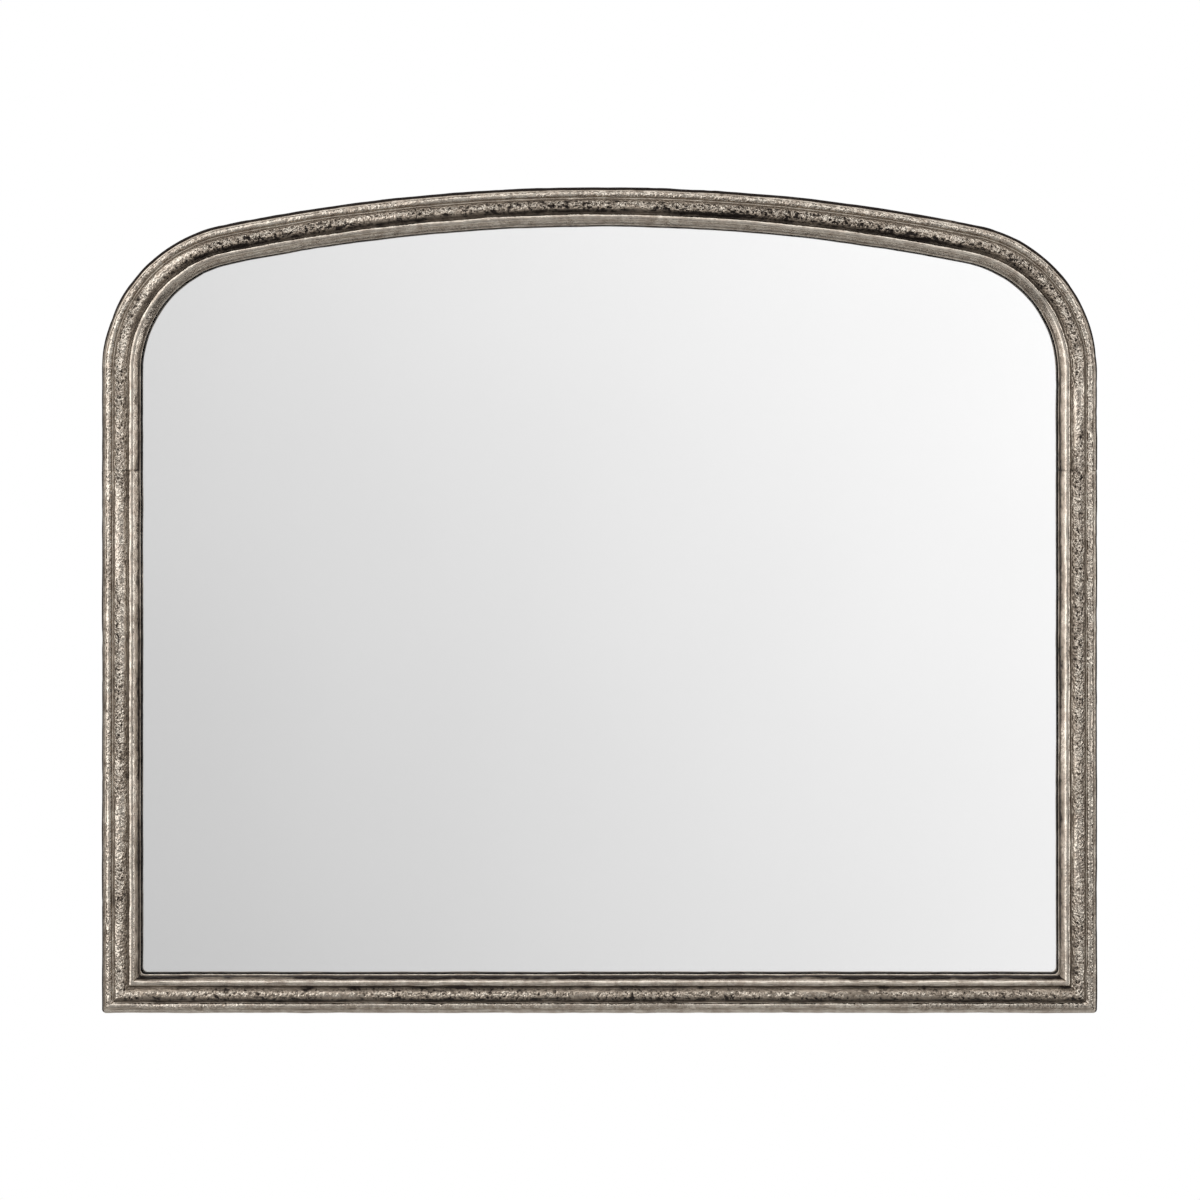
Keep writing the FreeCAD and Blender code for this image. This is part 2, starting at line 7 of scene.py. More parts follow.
import bpy
import numpy as np
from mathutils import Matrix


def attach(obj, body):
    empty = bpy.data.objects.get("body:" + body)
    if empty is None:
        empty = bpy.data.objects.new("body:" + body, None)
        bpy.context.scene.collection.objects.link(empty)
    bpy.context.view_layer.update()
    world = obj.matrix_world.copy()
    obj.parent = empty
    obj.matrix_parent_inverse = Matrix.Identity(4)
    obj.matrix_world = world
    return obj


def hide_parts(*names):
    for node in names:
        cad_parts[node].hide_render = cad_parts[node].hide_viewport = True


# Looks of an arched wall mirror: a reeded frame of sand-cast metal with an antique-silver finish, silvered
# glass, and a boarded back with hanging straps, rings and rubber bumpers. Metres, in the frame of the solids:
# +X to the viewer's right, +Z up, the front faces -Y and the wall is the plane y = 0.

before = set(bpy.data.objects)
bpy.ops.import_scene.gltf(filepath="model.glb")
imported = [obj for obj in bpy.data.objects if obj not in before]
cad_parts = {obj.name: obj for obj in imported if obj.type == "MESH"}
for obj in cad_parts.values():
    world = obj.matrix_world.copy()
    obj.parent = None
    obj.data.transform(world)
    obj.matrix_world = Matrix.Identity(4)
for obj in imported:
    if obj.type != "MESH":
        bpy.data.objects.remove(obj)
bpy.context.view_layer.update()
MM = 0.001
TINY = 1e-9
WHITE = (1.0, 1.0, 1.0, 1.0)
# Planes in y: the board's back, the bars of the rings, and the back of the castings, on which the board lies.
BOARD_PLANE = -8.0 * MM
BAR_PLANE = -4.6 * MM
CASTING_PLANE = -14.0 * MM
# Sockets of a Mix node that takes colours: its share, the two colours and its result.
SHARE, UNDER, OVER, MIXED = 0, 6, 7, 2

Array = np.ndarray
Span = tuple[float, float]
Triple = tuple[float, float, float]
Four = tuple[float, float, float, float]

log = logging.getLogger("arched_mirror")


class Side(Enum):
    """The two sides of the mirror, as the viewer sees them."""

    LEFT = -1
    RIGHT = 1

    @property
    def word(self) -> str:
        """The side's name as it stands in the names of pieces."""
        return self.name.lower()


class Draw(IntEnum):
    """Seeds of the random draws."""

    ARCH = 11
    STILES = 31
    RAIL = 51
    BOARD_SCREWS = 71
    STRAP_SCREWS = 72


def linear(code: str) -> Four:
    """Turn an sRGB hex colour into linear light, along sRGB's own curve.

    Args:
        code: Six hex digits after a hash sign.

    Returns:
        Linear red, green and blue, with an alpha of 1.
    """
    shares = np.array([int(code[i : i + 2], 16) / 255 for i in (1, 3, 5)])
    light = np.where(shares <= 0.04045, shares / 12.92, ((shares + 0.055) / 1.055) ** 2.4)
    return (*light.tolist(), 1.0)


def bare_tree(owner: bpy.types.Material | bpy.types.World) -> bpy.types.NodeTree:
    """Give a material or a world an empty node tree.

    Args:
        owner: The material or the world.

    Returns:
        Its nodes, of which there are none yet.
    """
    owner.use_nodes = True
    owner.node_tree.nodes.clear()
    return owner.node_tree


def add_node(
    tree: bpy.types.NodeTree, kind: str, links: dict | None = None, out: str | int = 0, **settings: Any
) -> bpy.types.NodeSocket | None:
    """Add one node with its settings and what feeds its inputs.

    Args:
        tree: The node tree that gets the node.
        kind: The node's type, without the word ShaderNode that each of them starts with.
        links: Input name or number to a socket, which is linked, or to a value, which is set.
        out: Name or number of the wanted output.
        settings: The node's own properties.

    Returns:
        The wanted output, or None from a node that has no outputs.
    """
    node = tree.nodes.new("ShaderNode" + kind)
    for name, value in settings.items():
        setattr(node, name, value)
    for name, value in (links or {}).items():
        if isinstance(value, bpy.types.NodeSocket):
            tree.links.new(value, node.inputs[name])
        else:
            node.inputs[name].default_value = value
    return node.outputs[out] if len(node.outputs) else None


def in_scene(name: str, data: bpy.types.ID) -> bpy.types.Object:
    """Put an object into the scene.

    Args:
        name: Name of the object.
        data: Its mesh, lamp or camera.

    Returns:
        The new object.
    """
    made = bpy.data.objects.new(name, data)
    bpy.context.scene.collection.objects.link(made)
    return made


def smoothstep(low: float, high: float, x: Array) -> Array:
    """Rise from 0 at low to 1 at high along 3t^2 - 2t^3."""
    t = np.clip((x - low) / (high - low), 0, 1)
    return t * t * (3 - 2 * t)


def value_noise(along: Array, across: Array, cell_along: float, cell_across: float, seed: int) -> Array:
    """Smooth random heights over a plane.

    Random heights from -1 to 1 stand on a lattice, and the four around a point are blended by the smoothstep
    of the point's place in its cell.

    Args:
        along: First coordinate of each point, in metres.
        across: Second coordinate of each point, in metres.
        cell_along: Lattice spacing in the first direction, in metres.
        cell_across: Lattice spacing in the second direction, in metres.
        seed: Seed of the random heights.

    Returns:
        One height for each point.
    """
    p = (along - along.min()) / cell_along
    q = (across - across.min()) / cell_across
    i = np.floor(p).astype(int)
    j = np.floor(q).astype(int)
    heights = np.random.default_rng(seed).uniform(-1, 1, (i.max() + 2, j.max() + 2))
    s, t = smoothstep(0, 1, p - i), smoothstep(0, 1, q - j)
    near = heights[i, j] * (1 - s) + heights[i + 1, j] * s
    far = heights[i, j + 1] * (1 - s) + heights[i + 1, j + 1] * s
    return near * (1 - t) + far * t


def circle(steps: int) -> Array:
    """Angles of points that stand evenly round a circle."""
    return np.linspace(0, 2 * math.pi, steps, endpoint=False)


def spokes(turn: Array) -> Array:
    """Unit directions at these angles: the cosine and the sine of each."""
    return np.stack([np.cos(turn), np.sin(turn)], 1)


def column(x: float, heights: Array) -> Array:
    """Places in x and z that stand one above the other."""
    return np.stack([np.full(len(heights), x), heights], 1)


def swept(arcs: list[tuple[float, float, float, Array]]) -> tuple[Array, Array]:
    """Walk along arcs: a point lies the radius along its spoke from the arc's centre.

    Args:
        arcs: Each arc's centre in two coordinates, its radius and the angles of its points.

    Returns:
        The points, and the spoke of each.
    """
    points = [np.array([x, z]) + radius * spokes(turn) for x, z, radius, turn in arcs]
    return np.concatenate(points), np.concatenate([spokes(turn) for *_, turn in arcs])


def lathed(places: Array, radius: Array, depth: Array, turn: Array) -> Array:
    """Turn an outline about axes along y: at angle t a point lies r cos t in x and r sin t in z off its axis.

    Args:
        places: The axes, in x and z.
        radius: Distance of the outline's points from the axis, a row for each.
        depth: Their place in y, a row for each.
        turn: The angles, the same for all axes or a grid for each.

    Returns:
        The points, by axis, row, angle and coordinate.
    """
    x = places[:, 0, None, None] + radius * np.cos(turn)
    z = places[:, 1, None, None] + radius * np.sin(turn)
    return np.stack([x, np.broadcast_to(depth, x.shape), z], -1)


@dataclass
class Surface:
    """A mesh in the making: points, faces and what is painted on the points."""

    points: Array
    faces: list[list[int]]
    paint: dict[str, Array] = field(default_factory=dict)
    uv: Array | None = None
    sharp_degrees: float = 50.0

    def outward(self) -> "Surface":
        """Turn the faces outwards: the summed volume of the tetrahedra from the origin must be positive.

        Returns:
            This surface.
        """
        fans = [[f[0], f[k], f[k + 1]] for f in self.faces for k in range(1, len(f) - 1)]
        corners = self.points[np.array(fans)]
        volume = np.einsum("ij,ij->i", corners[:, 0], np.cross(corners[:, 1], corners[:, 2])).sum()
        if volume < 0:
            self.faces = [face[::-1] for face in self.faces]
        return self

    def piece(
        self, name: str, body: str, slot: str, material: bpy.types.Material, *nodes: str
    ) -> bpy.types.Object:
        """Make the object that shows this surface.

        Args:
            name: The object's name.
            body: The body that it rides on.
            slot: The record's material slot; not used.
            material: Its finish.
            nodes: The solids that it stands for.

        Returns:
            The new object.
        """
        mesh = bpy.data.meshes.new(name)
        mesh.from_pydata(self.points.tolist(), [], self.faces)
        mesh.polygons.foreach_set("use_smooth", np.ones(len(mesh.polygons), bool))
        mesh.set_sharp_from_angle(angle=math.radians(self.sharp_degrees))
        for paint, values in self.paint.items():
            painted = mesh.attributes.new(paint, "FLOAT", "POINT")
            painted.data.foreach_set("value", values.astype(np.float32).ravel())
        if self.uv is not None:
            corners = np.zeros(len(mesh.loops), np.int32)
            mesh.loops.foreach_get("vertex_index", corners)
            layer = mesh.uv_layers.new(name="run")
            layer.data.foreach_set("uv", self.uv[corners].astype(np.float32).ravel())
        mesh.materials.append(material)
        made = in_scene(name, mesh)
        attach(made, body)
        if nodes:
            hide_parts(*nodes)
        log.info("%s: %d points, %d faces", name, len(mesh.vertices), len(mesh.polygons))
        return made


def grid_faces(rows: int, columns: int, closed: bool, looped: bool = False) -> list[list[int]]:
    """Quads of a grid of points that is numbered row by row.

    Args:
        rows: Number of rows.
        columns: Number of points in a row.
        closed: True if each row joins its end to its start.
        looped: True if the last row joins the first.

    Returns:
        One list of four point numbers for each quad.
    """
    i = np.arange(rows if looped else rows - 1)[:, None] * columns
    j = np.arange(columns if closed else columns - 1)[None, :]
    m = (i + columns) % (rows * columns)
    k = (j + 1) % columns
    return np.stack([i + j, i + k, m + k, m + j], -1).reshape(-1, 4).tolist()


def skins(grids: Array, looped: bool = False) -> Surface:
    """Join equal tubes into one surface: grids closed round their rows, and capped at the ends unless looped.

    Args:
        grids: Points of the tubes, by tube, row, column and coordinate.
        looped: True if each tube's last row joins its first, as on a ring.

    Returns:
        The surface of all tubes.
    """
    count, rows, columns, _ = grids.shape
    size = rows * columns
    faces = grid_faces(rows, columns, closed=True, looped=looped)
    if not looped:
        faces += [list(range(columns))[::-1], list(range(size - columns, size))]
    joined = [[corner + number * size for corner in face] for number in range(count) for face in faces]
    return Surface(grids.reshape(-1, 3), joined)


@dataclass(frozen=True)
class Finish:
    """A finish: a real material and the way its surface was made."""

    name: str

    def material(self) -> bpy.types.Material:
        """Build the material, or take the one that is already there.

        Returns:
            The finished material.
        """
        if self.name in bpy.data.materials:
            return bpy.data.materials[self.name]
        made = bpy.data.materials.new(self.name)
        tree = bare_tree(made)
        surface = add_node(tree, "BsdfPrincipled", self.paint(tree))
        add_node(tree, "OutputMaterial", {"Surface": surface})
        return made

    def paint(self, tree: bpy.types.NodeTree) -> dict[str, Any]:
        """Make the finish's own nodes, and give a socket or a value for each shader input that it sets."""
        raise NotImplementedError


@dataclass(frozen=True)
class AntiqueSilver(Finish):
    """Sand-cast metal, silvered, darkened with wax and rubbed back.

    The rubbed crests are warm silver and take sharp highlights. Where the cloth did not reach, a brown film
    stays and reads as satin; in the grooves and pits the wax is nearly black. The sand leaves a gritty skin
    on the broad reed that glints, and filing leaves fine lines along the narrow ones. Real grit is about
    0.4 mm wide and file lines 0.15 mm, too fine to show in the render, so both are drawn as coarse as they
    need to be. Each range is the noise or the wax over which one look turns into the next. The painted wax
    also holds painted shade and painted light, laid on by how each part of the frame faces.
    """

    name: str = "antique_silver_casting"
    rubbed: str = "#b0a89d"
    tarnished: str = "#988d82"
    film: str = "#84796d"
    # The wax colour also paints the shade that the painted wax holds.
    wax: str = "#1d1714"
    grain: float = 2.4 * MM
    grain_relief: float = 6.5 * MM
    blotch: float = 9.0 * MM
    file_line: Span = (24 * MM, 0.8 * MM)
    file_relief: float = 0.22 * MM
    tarnish_range: Span = (0.40, 0.66)
    pit_range: Span = (0.42, 0.32)
    cloud_wax: float = 0.5
    film_range: Span = (0.38, 0.80)
    wax_range: Span = (0.80, 1.30)
    gloss_range: Span = (0.3, 0.9)
    roughness: Span = (0.08, 0.45)
    waxed_metallic: float = 0.4
    specular: float = 0.15

    def paint(self, tree: bpy.types.NodeTree) -> dict[str, Any]:
        """Lay tarnish, film and wax over silver by painted wax and noise; grit and file lines are bump.

        Args:
            tree: The material's nodes.

        Returns:
            What feeds the principled shader, by the name of its input.
        """
        place = add_node(tree, "TexCoord", out="Object")
        run = add_node(tree, "UVMap", uv_map="run")
        # The painted wax holds painted shade and painted light as well as real wax.
        wax, grit = (add_node(tree, "Attribute", out="Fac", attribute_name=name) for name in ("wax", "grit"))
        length, width = self.file_line
        filing = add_node(tree, "Mapping", {"Vector": run, "Scale": (1 / length, 1 / width, 1.0)})
        inputs = ("Vector", "Scale", "Detail", "Roughness")
        noises = (
            (place, 1 / self.blotch, 4.0, 0.6),
            (place, 1 / self.grain, 1.2, 0.5),
            (filing, 1.0, 2.0, 0.6),
        )
        blotch, grain, lines = (add_node(tree, "TexNoise", dict(zip(inputs, row)), "Fac") for row in noises)
        tarnish, pits = (
            add_node(tree, "MapRange", {"Value": noise, "From Min": low, "From Max": high})
            for noise, (low, high) in ((blotch, self.tarnish_range), (grain, self.pit_range))
        )
        pitted = add_node(tree, "Math", {0: pits, 1: grit, 2: wax}, operation="MULTIPLY_ADD")
        veil = add_node(tree, "Math", {0: blotch, 1: self.cloud_wax, 2: pitted}, operation="MULTIPLY_ADD")
        filmed, waxed = (
            add_node(tree, "MapRange", {"Value": veil, "From Min": low, "From Max": high})
            for low, high in (self.film_range, self.wax_range)
        )
        colour = linear(self.rubbed)
        for share, over in ((tarnish, self.tarnished), (filmed, self.film), (waxed, self.wax)):
            layers = {SHARE: share, UNDER: colour, OVER: linear(over)}
            colour = add_node(tree, "Mix", layers, MIXED, data_type="RGBA")
        start, stop = self.gloss_range
        glossy, dull = self.roughness
        gloss = {"Value": veil, "From Min": start, "From Max": stop, "To Min": glossy, "To Max": dull}
        rough = add_node(tree, "MapRange", gloss)
        metallic = add_node(tree, "MapRange", {"Value": waxed, "To Min": 1.0, "To Max": self.waxed_metallic})
        smooth = add_node(tree, "Math", {0: 1.0, 1: grit}, operation="SUBTRACT")
        filed = add_node(tree, "Bump", {"Strength": smooth, "Distance": self.file_relief, "Height": lines})
        relief = {"Strength": grit, "Distance": self.grain_relief, "Height": grain, "Normal": filed}
        return {
            "Base Color": colour,
            "Roughness": rough,
            "Metallic": metallic,
            "Normal": add_node(tree, "Bump", relief),
            "Specular IOR Level": self.specular,
        }


@dataclass(frozen=True)
class FloatGlass(Finish):
    """Clear float glass: colourless face on, faintly green edge on, with a fire-polished skin."""

    name: str = "float_glass"
    body: str = "#fdfefd"
    swell: float = 160 * MM
    swell_relief: float = 0.05 * MM
    swell_strength: float = 0.02
    ior: float = 1.52

    def paint(self, tree: bpy.types.NodeTree) -> dict[str, Any]:
        """Clear, with a waviness far below what shows as a dent: a long, faint swell in the skin.

        Args:
            tree: The material's nodes.

        Returns:
            What feeds the principled shader, by the name of its input.
        """
        place = add_node(tree, "TexCoord", out="Object")
        swell = add_node(tree, "TexNoise", {"Vector": place, "Scale": 1 / self.swell, "Detail": 0.0}, "Fac")
        relief = {"Strength": self.swell_strength, "Distance": self.swell_relief, "Height": swell}
        return {
            "Normal": add_node(tree, "Bump", relief),
            "Base Color": linear(self.body),
            "Roughness": 0.0,
            "IOR": self.ior,
            "Transmission Weight": 1.0,
        }


@dataclass(frozen=True)
class Silvering(Finish):
    """Silver deposited on the back of the glass: a clean neutral mirror with a trace of haze."""

    name: str = "mirror_silvering"
    bright: str = "#f4f3f4"
    hazed: str = "#f0eff0"
    cloud: float = 220 * MM

    def paint(self, tree: bpy.types.NodeTree) -> dict[str, Any]:
        """Two near-equal silvers in wide clouds, as old baths leave them.

        Args:
            tree: The material's nodes.

        Returns:
            What feeds the principled shader, by the name of its input.
        """
        place = add_node(tree, "TexCoord", out="Object")
        cloud = add_node(tree, "TexNoise", {"Vector": place, "Scale": 1 / self.cloud, "Detail": 1.0}, "Fac")
        layers = {SHARE: cloud, UNDER: linear(self.bright), OVER: linear(self.hazed)}
        colour = add_node(tree, "Mix", layers, MIXED, data_type="RGBA")
        return {"Base Color": colour, "Metallic": 1.0, "Roughness": 0.0}


@dataclass(frozen=True)
class GrainedFinish(Finish):
    """A finish of two close colours in a grain, with the grain as relief."""

    light: str
    dark: str
    grain: Triple  # its size along x, y and z
    relief: float
    detail: float
    metallic: float
    roughness: Span  # on the light crests, and on the dark between them
    spread: Span = (0.35, 0.65)  # noise from dark to light
    strength: float = 0.6

    def paint(self, tree: bpy.types.NodeTree) -> dict[str, Any]:
        """One noise, stretched to the grain's three sizes, drives colour, roughness and relief.

        Args:
            tree: The material's nodes.

        Returns:
            What feeds the principled shader, by the name of its input.
        """
        place = add_node(tree, "TexCoord", out="Object")
        scale = tuple(1 / size for size in self.grain)
        cells = add_node(tree, "Mapping", {"Vector": place, "Scale": scale})
        noise = {"Vector": cells, "Scale": 1.0, "Detail": self.detail, "Roughness": 0.6}
        grain = add_node(tree, "TexNoise", noise, "Fac")
        low, high = self.spread
        share = add_node(tree, "MapRange", {"Value": grain, "From Min": low, "From Max": high})
        layers = {SHARE: share, UNDER: linear(self.dark), OVER: linear(self.light)}
        crest, between = self.roughness
        relief = {"Strength": self.strength, "Distance": self.relief, "Height": grain}
        return {
            "Base Color": add_node(tree, "Mix", layers, MIXED, data_type="RGBA"),
            "Roughness": add_node(tree, "MapRange", {"Value": share, "To Min": between, "To Max": crest}),
            "Normal": add_node(tree, "Bump", relief),
            "Metallic": self.metallic,
        }


# Fibreboard: pressed wood fibre, a warm brown with fibres a few millimetres long and a dull face. The fibres
# are hair-thin, so they are drawn in bundles 1.4 mm wide.
FIBREBOARD = GrainedFinish(
    "pressed_fibreboard", "#a5825c", "#86663f", (5 * MM, 5 * MM, 1.4 * MM), 0.12 * MM, 6.0, 0.0, (0.72, 0.86)
)
# Zinc-plated steel: a pale blue-grey plate with a soft spangle and a half gloss.
ZINC = GrainedFinish(
    "zinc_plated_steel", "#c9ccd0", "#a9adb2", (2 * MM, 2 * MM, 2 * MM), 0.02 * MM, 3.0, 1.0, (0.26, 0.38)
)
# Strap steel: cold-rolled and brushed along its length, then nickelled; lines run up the strap. They are
# really about 0.05 mm wide, and drawn coarser so that they show.
BRUSHED = (0.3 * MM, 0.3 * MM, 14 * MM)
STRAP_STEEL = GrainedFinish(
    "brushed_nickelled_steel", "#c4c1ba", "#a29f98", BRUSHED, 0.03 * MM, 3.0, 1.0, (0.24, 0.36)
)
# Mild steel flats: hot-rolled, with a grey-brown mill skin.
PLATE_STEEL = GrainedFinish(
    "hot_rolled_steel", "#6d6a67", "#4b4744", (6 * MM, 6 * MM, 6 * MM), 0.05 * MM, 5.0, 0.9, (0.42, 0.6)
)
# Moulded rubber: near black, dull, with the texture of the mould, drawn coarser than the real 0.2 mm.
BUMPER_RUBBER = GrainedFinish(
    "moulded_rubber", "#2b2a29", "#1d1c1b", (0.8 * MM, 0.8 * MM, 0.8 * MM), 0.05 * MM, 3.0, 0.0, (0.55, 0.7)
)
# Cut rubber: blocks sawn from sheet, a chalkier black with saw lines.
BLOCK_RUBBER = GrainedFinish(
    "cut_rubber", "#363534", "#262524", (3 * MM, 0.6 * MM, 3 * MM), 0.06 * MM, 3.0, 0.0, (0.65, 0.8)
)
# Wool felt tape: dark grey wool with no gloss; its matted fibres are drawn as tufts about a millimetre wide.
FELT = GrainedFinish(
    "wool_felt", "#3b3a36", "#292825", (1.2 * MM, 1.2 * MM, 1.2 * MM), 0.2 * MM, 5.0, 0.0, (0.9, 1.0)
)
# Closed-cell foam: off-white cells about a millimetre wide.
FOAM = GrainedFinish(
    "closed_cell_foam", "#dcdad4", "#c5c2bb", (1 * MM, 1 * MM, 1 * MM), 0.15 * MM, 2.0, 0.0, (0.8, 0.9)
)


class Band(Enum):
    """The bands of the moulding, with their share of sand grit."""

    EDGE = 0.12
    OUTER = 0.40
    TORUS = 1.00
    INNER = 0.10
    LIP = 0.16
    SIDE = 0.20
    BACK = 0.60


@dataclass(frozen=True)
class Reed:
    """One round reed of the moulding and the groove after it."""

    band: Band
    width: float  # of its foot
    rise: float  # of its crest above the floor
    gap: float  # width of the groove after it
    steps: int  # points over its arc
    rubbed: float  # degrees from the crest to which the cloth rubbed it clean
    film: float  # wax that is left beyond that
    soot: float  # wax in the middle of the groove before it


@dataclass(frozen=True)
class Section:
    """Points round the castings' section, with what the finish needs to know of each."""

    inset: Array  # distance in from the outer edge
    height: Array  # distance in front of the castings' back plane
    normal: Array  # outward direction, as inset and height
    wax: Array  # how much dark wax stays; 1 is plenty
    grit: Array  # how gritty the skin is, from 0 to 1
    lip: Array  # how deep in the lip it lies, from 0 to 1
    girth: Array  # length along the section from its start
    first_groove: float  # inset of the middle of the groove next to the edge bead


@dataclass(frozen=True)
class Moulding:
    """The castings' section: round reeds on one floor, a lip with a fillet, a rebate and a hollow back."""

    reeds: tuple[Reed, ...] = (
        Reed(Band.EDGE, 3.0 * MM, 1.3 * MM, 0.9 * MM, 7, 50.0, 0.38, 0.0),
        Reed(Band.OUTER, 7.0 * MM, 3.2 * MM, 1.1 * MM, 12, 52.0, 0.38, 0.1),
        Reed(Band.TORUS, 13.8 * MM, 6.2 * MM, 1.0 * MM, 23, 35.0, 0.55, 1.15),
        Reed(Band.INNER, 6.8 * MM, 3.8 * MM, 3.9 * MM, 12, 56.0, 0.38, 1.25),
    )
    side_heights: Four = (0.0, 5.0 * MM, 10.0 * MM, 14.0 * MM)
    side_wax: float = 0.35
    floor: float = 15.0 * MM
    steepest: float = 66.0
    film_fade: float = 9.0  # degrees to either side of where the cloth stopped
    film_calm: float = 0.6  # share of the grit that a film hides
    groove_dip: float = 0.55 * MM
    groove_shares: Triple = (0.25, 0.5, 0.75)  # places of its points
    groove_soots: Triple = (0.55, 1.0, 0.55)  # their share of its wax
    groove_grit: float = 0.1
    lip_steps: int = 6
    lip_ease: float = 2.2
    lip_top: float = 0.65  # how deep its top counts
    lip_normal: Span = (0.94, 0.34)
    fillet: float = 0.7 * MM
    fillet_turn: Span = (-40.0, 90.0)
    fillet_steps: int = 6
    arris: float = 1.0 * MM
    arris_turn: Span = (45.0, 90.0)
    rebate_depth: float = 8.0 * MM
    rebate_width: float = 9.0 * MM
    wall: float = 4.5 * MM
    web: float = 4.0 * MM
    back_wax: float = 0.5

    @property
    def face_width(self) -> float:
        """Width of the moulding, from the outer edge to the sight line."""
        return sum(reed.width + reed.gap for reed in self.reeds)

    def section(self) -> Section:
        """Walk round the section: up the outer side, over the reeds, down the lip and along the back.

        A reed of width w and rise h is an arc of radius w^2 / 8h + h / 2, as far as its steepest slope. The
        groove after it is a parabola that dips below the line between the two arcs. The lip falls evenly
        while it hollows by a power, and the fillet and the arris at its foot are arcs. Wax is thin where the
        cloth rubbed, a film beyond that, and grows towards the middle of the grooves.

        Returns:
            The points of the section, closed from the last to the first.
        """
        rows: list[Array] = []

        def add(
            inset: Any, height: Any, wax: Any, grit: Any, normal: tuple[Any, Any] = (0.0, 0.0), lip: Any = 0.0
        ) -> None:
            """Add points; each value is one number or an array of them."""
            values = np.atleast_1d(inset, height, *normal, wax, grit, lip)
            rows.append(np.stack(np.broadcast_arrays(*values), 1))

        add(0.0, np.array(self.side_heights), self.side_wax, Band.SIDE.value, (-1.0, 0.0))
        start = 0.0
        for reed in self.reeds:
            radius = reed.width**2 / (8 * reed.rise) + reed.rise / 2
            reach = min(math.asin(reed.width / 2 / radius), math.radians(self.steepest))
            turn = np.linspace(-reach, reach, reed.steps)
            inset = start + reed.width / 2 + radius * np.sin(turn)
            height = self.floor + reed.rise - radius + radius * np.cos(turn)
            edge, fade = reed.rubbed, self.film_fade
            film = smoothstep(edge - fade, edge + fade, np.degrees(np.abs(turn)))
            if start > 0:
                before = rows[-1][-1, :2]
                share = np.array(self.groove_shares)
                across = before[0] + share * (inset[0] - before[0])
                down = before[1] + share * (height[0] - before[1]) - 4 * self.groove_dip * share * (1 - share)
                add(across, down, reed.soot * np.array(self.groove_soots), self.groove_grit, (0.0, 1.0))
            grit = reed.band.value * (1 - self.film_calm * film)
            add(inset, height, reed.film * film, grit, (np.sin(turn), np.cos(turn)))
            start += reed.width + reed.gap
        sight = self.face_width
        inset, height = rows[-1][-1, :2]
        fall = np.linspace(0, 1, self.lip_steps + 1)[1:]
        ease = 1 - (1 - fall) ** self.lip_ease
        foot = self.rebate_depth + self.arris
        across = inset + ease * (sight - 2 * self.fillet - inset)
        down = height + fall * (foot + 2 * self.fillet - height)
        deeper = self.lip_top + (1 - self.lip_top) * fall
        add(across, down, 0.0, Band.LIP.value, self.lip_normal, deeper)
        turn = np.radians(np.linspace(*self.fillet_turn, self.fillet_steps))
        across = sight - self.fillet + self.fillet * np.sin(turn)
        down = foot + self.fillet + self.fillet * np.cos(turn)
        add(across, down, 0.0, Band.INNER.value, (np.sin(turn), np.cos(turn)))
        turn = np.radians(self.arris_turn)
        across = sight - self.arris * (1 - np.cos(turn))
        down = self.rebate_depth + self.arris * (1 - np.sin(turn))
        add(across, down, 1.0, Band.INNER.value)
        rebate = sight - self.rebate_width
        inner = rebate - self.wall
        deep = self.floor - self.web
        across = np.array([rebate, rebate, inner, inner, self.wall, self.wall])
        down = np.array([self.rebate_depth, 0.0, 0.0, deep, deep, 0.0])
        add(across, down, self.back_wax, Band.BACK.value)
        inset, height, normal_in, normal_up, wax, grit, lip = np.concatenate(rows).T
        girth = np.concatenate([[0.0], np.cumsum(np.hypot(np.diff(inset), np.diff(height)))])
        first_groove = self.reeds[0].width + self.reeds[0].gap / 2
        normal = np.stack([normal_in, normal_up], 1)
        return Section(inset, height, normal, wax, grit, lip, girth, first_groove)


@dataclass(frozen=True)
class ArchOutline:
    """The mirror's outline: straight base and sides, tangent shoulders and a flat crown."""

    half_width: float = 500 * MM
    base: float = -640 * MM
    top: float = 190 * MM
    shoulder: float = 150 * MM
    crown: float = 1900 * MM
    seam: float = -95 * MM
    corner: float = 4 * MM

    @property
    def reach(self) -> float:
        """Distance of the shoulders' centres from the middle."""
        return self.half_width - self.shoulder

    @property
    def crown_angle(self) -> float:
        """Half the angle of the crown: its sine is the reach over the distance between the arcs' centres."""
        return math.asin(self.reach / (self.crown - self.shoulder))

    @property
    def spring(self) -> float:
        """Height at which the sides turn into the shoulders."""
        return self.top - self.crown + (self.crown - self.shoulder) * math.cos(self.crown_angle)

    def arch_run(self, spacing: float) -> tuple[Array, Array, Array]:
        """Walk along the outer edge from the left seam over the crown to the right seam.

        Args:
            spacing: Distance between stations.

        Returns:
            Each station's point in x and z, its inward direction, and its distance from the start.
        """
        crown_turn = math.pi / 2 + self.crown_angle
        bends = (
            (-self.reach, self.spring, self.shoulder, math.pi, crown_turn),
            (0.0, self.top - self.crown, self.crown, crown_turn, math.pi - crown_turn),
            (self.reach, self.spring, self.shoulder, math.pi - crown_turn, 0.0),
        )
        curve, outward = swept([
            (x, z, radius, np.linspace(start, stop, round(radius * (start - stop) / spacing), endpoint=False))
            for x, z, radius, start, stop in bends
        ])
        count = round((self.spring - self.seam) / spacing)
        rise = column(-self.half_width, np.linspace(self.seam, self.spring, count, endpoint=False))
        fall = column(self.half_width, np.linspace(self.spring, self.seam, count + 1))
        path = np.concatenate([rise, curve, fall])
        right, left = np.tile([1.0, 0.0], (len(rise), 1)), np.tile([-1.0, 0.0], (len(fall), 1))
        run = np.concatenate([[0.0], np.cumsum(np.hypot(*np.diff(path, axis=0).T))])
        return path, np.concatenate([right, -outward, left]), run


OUTLINE = ArchOutline()


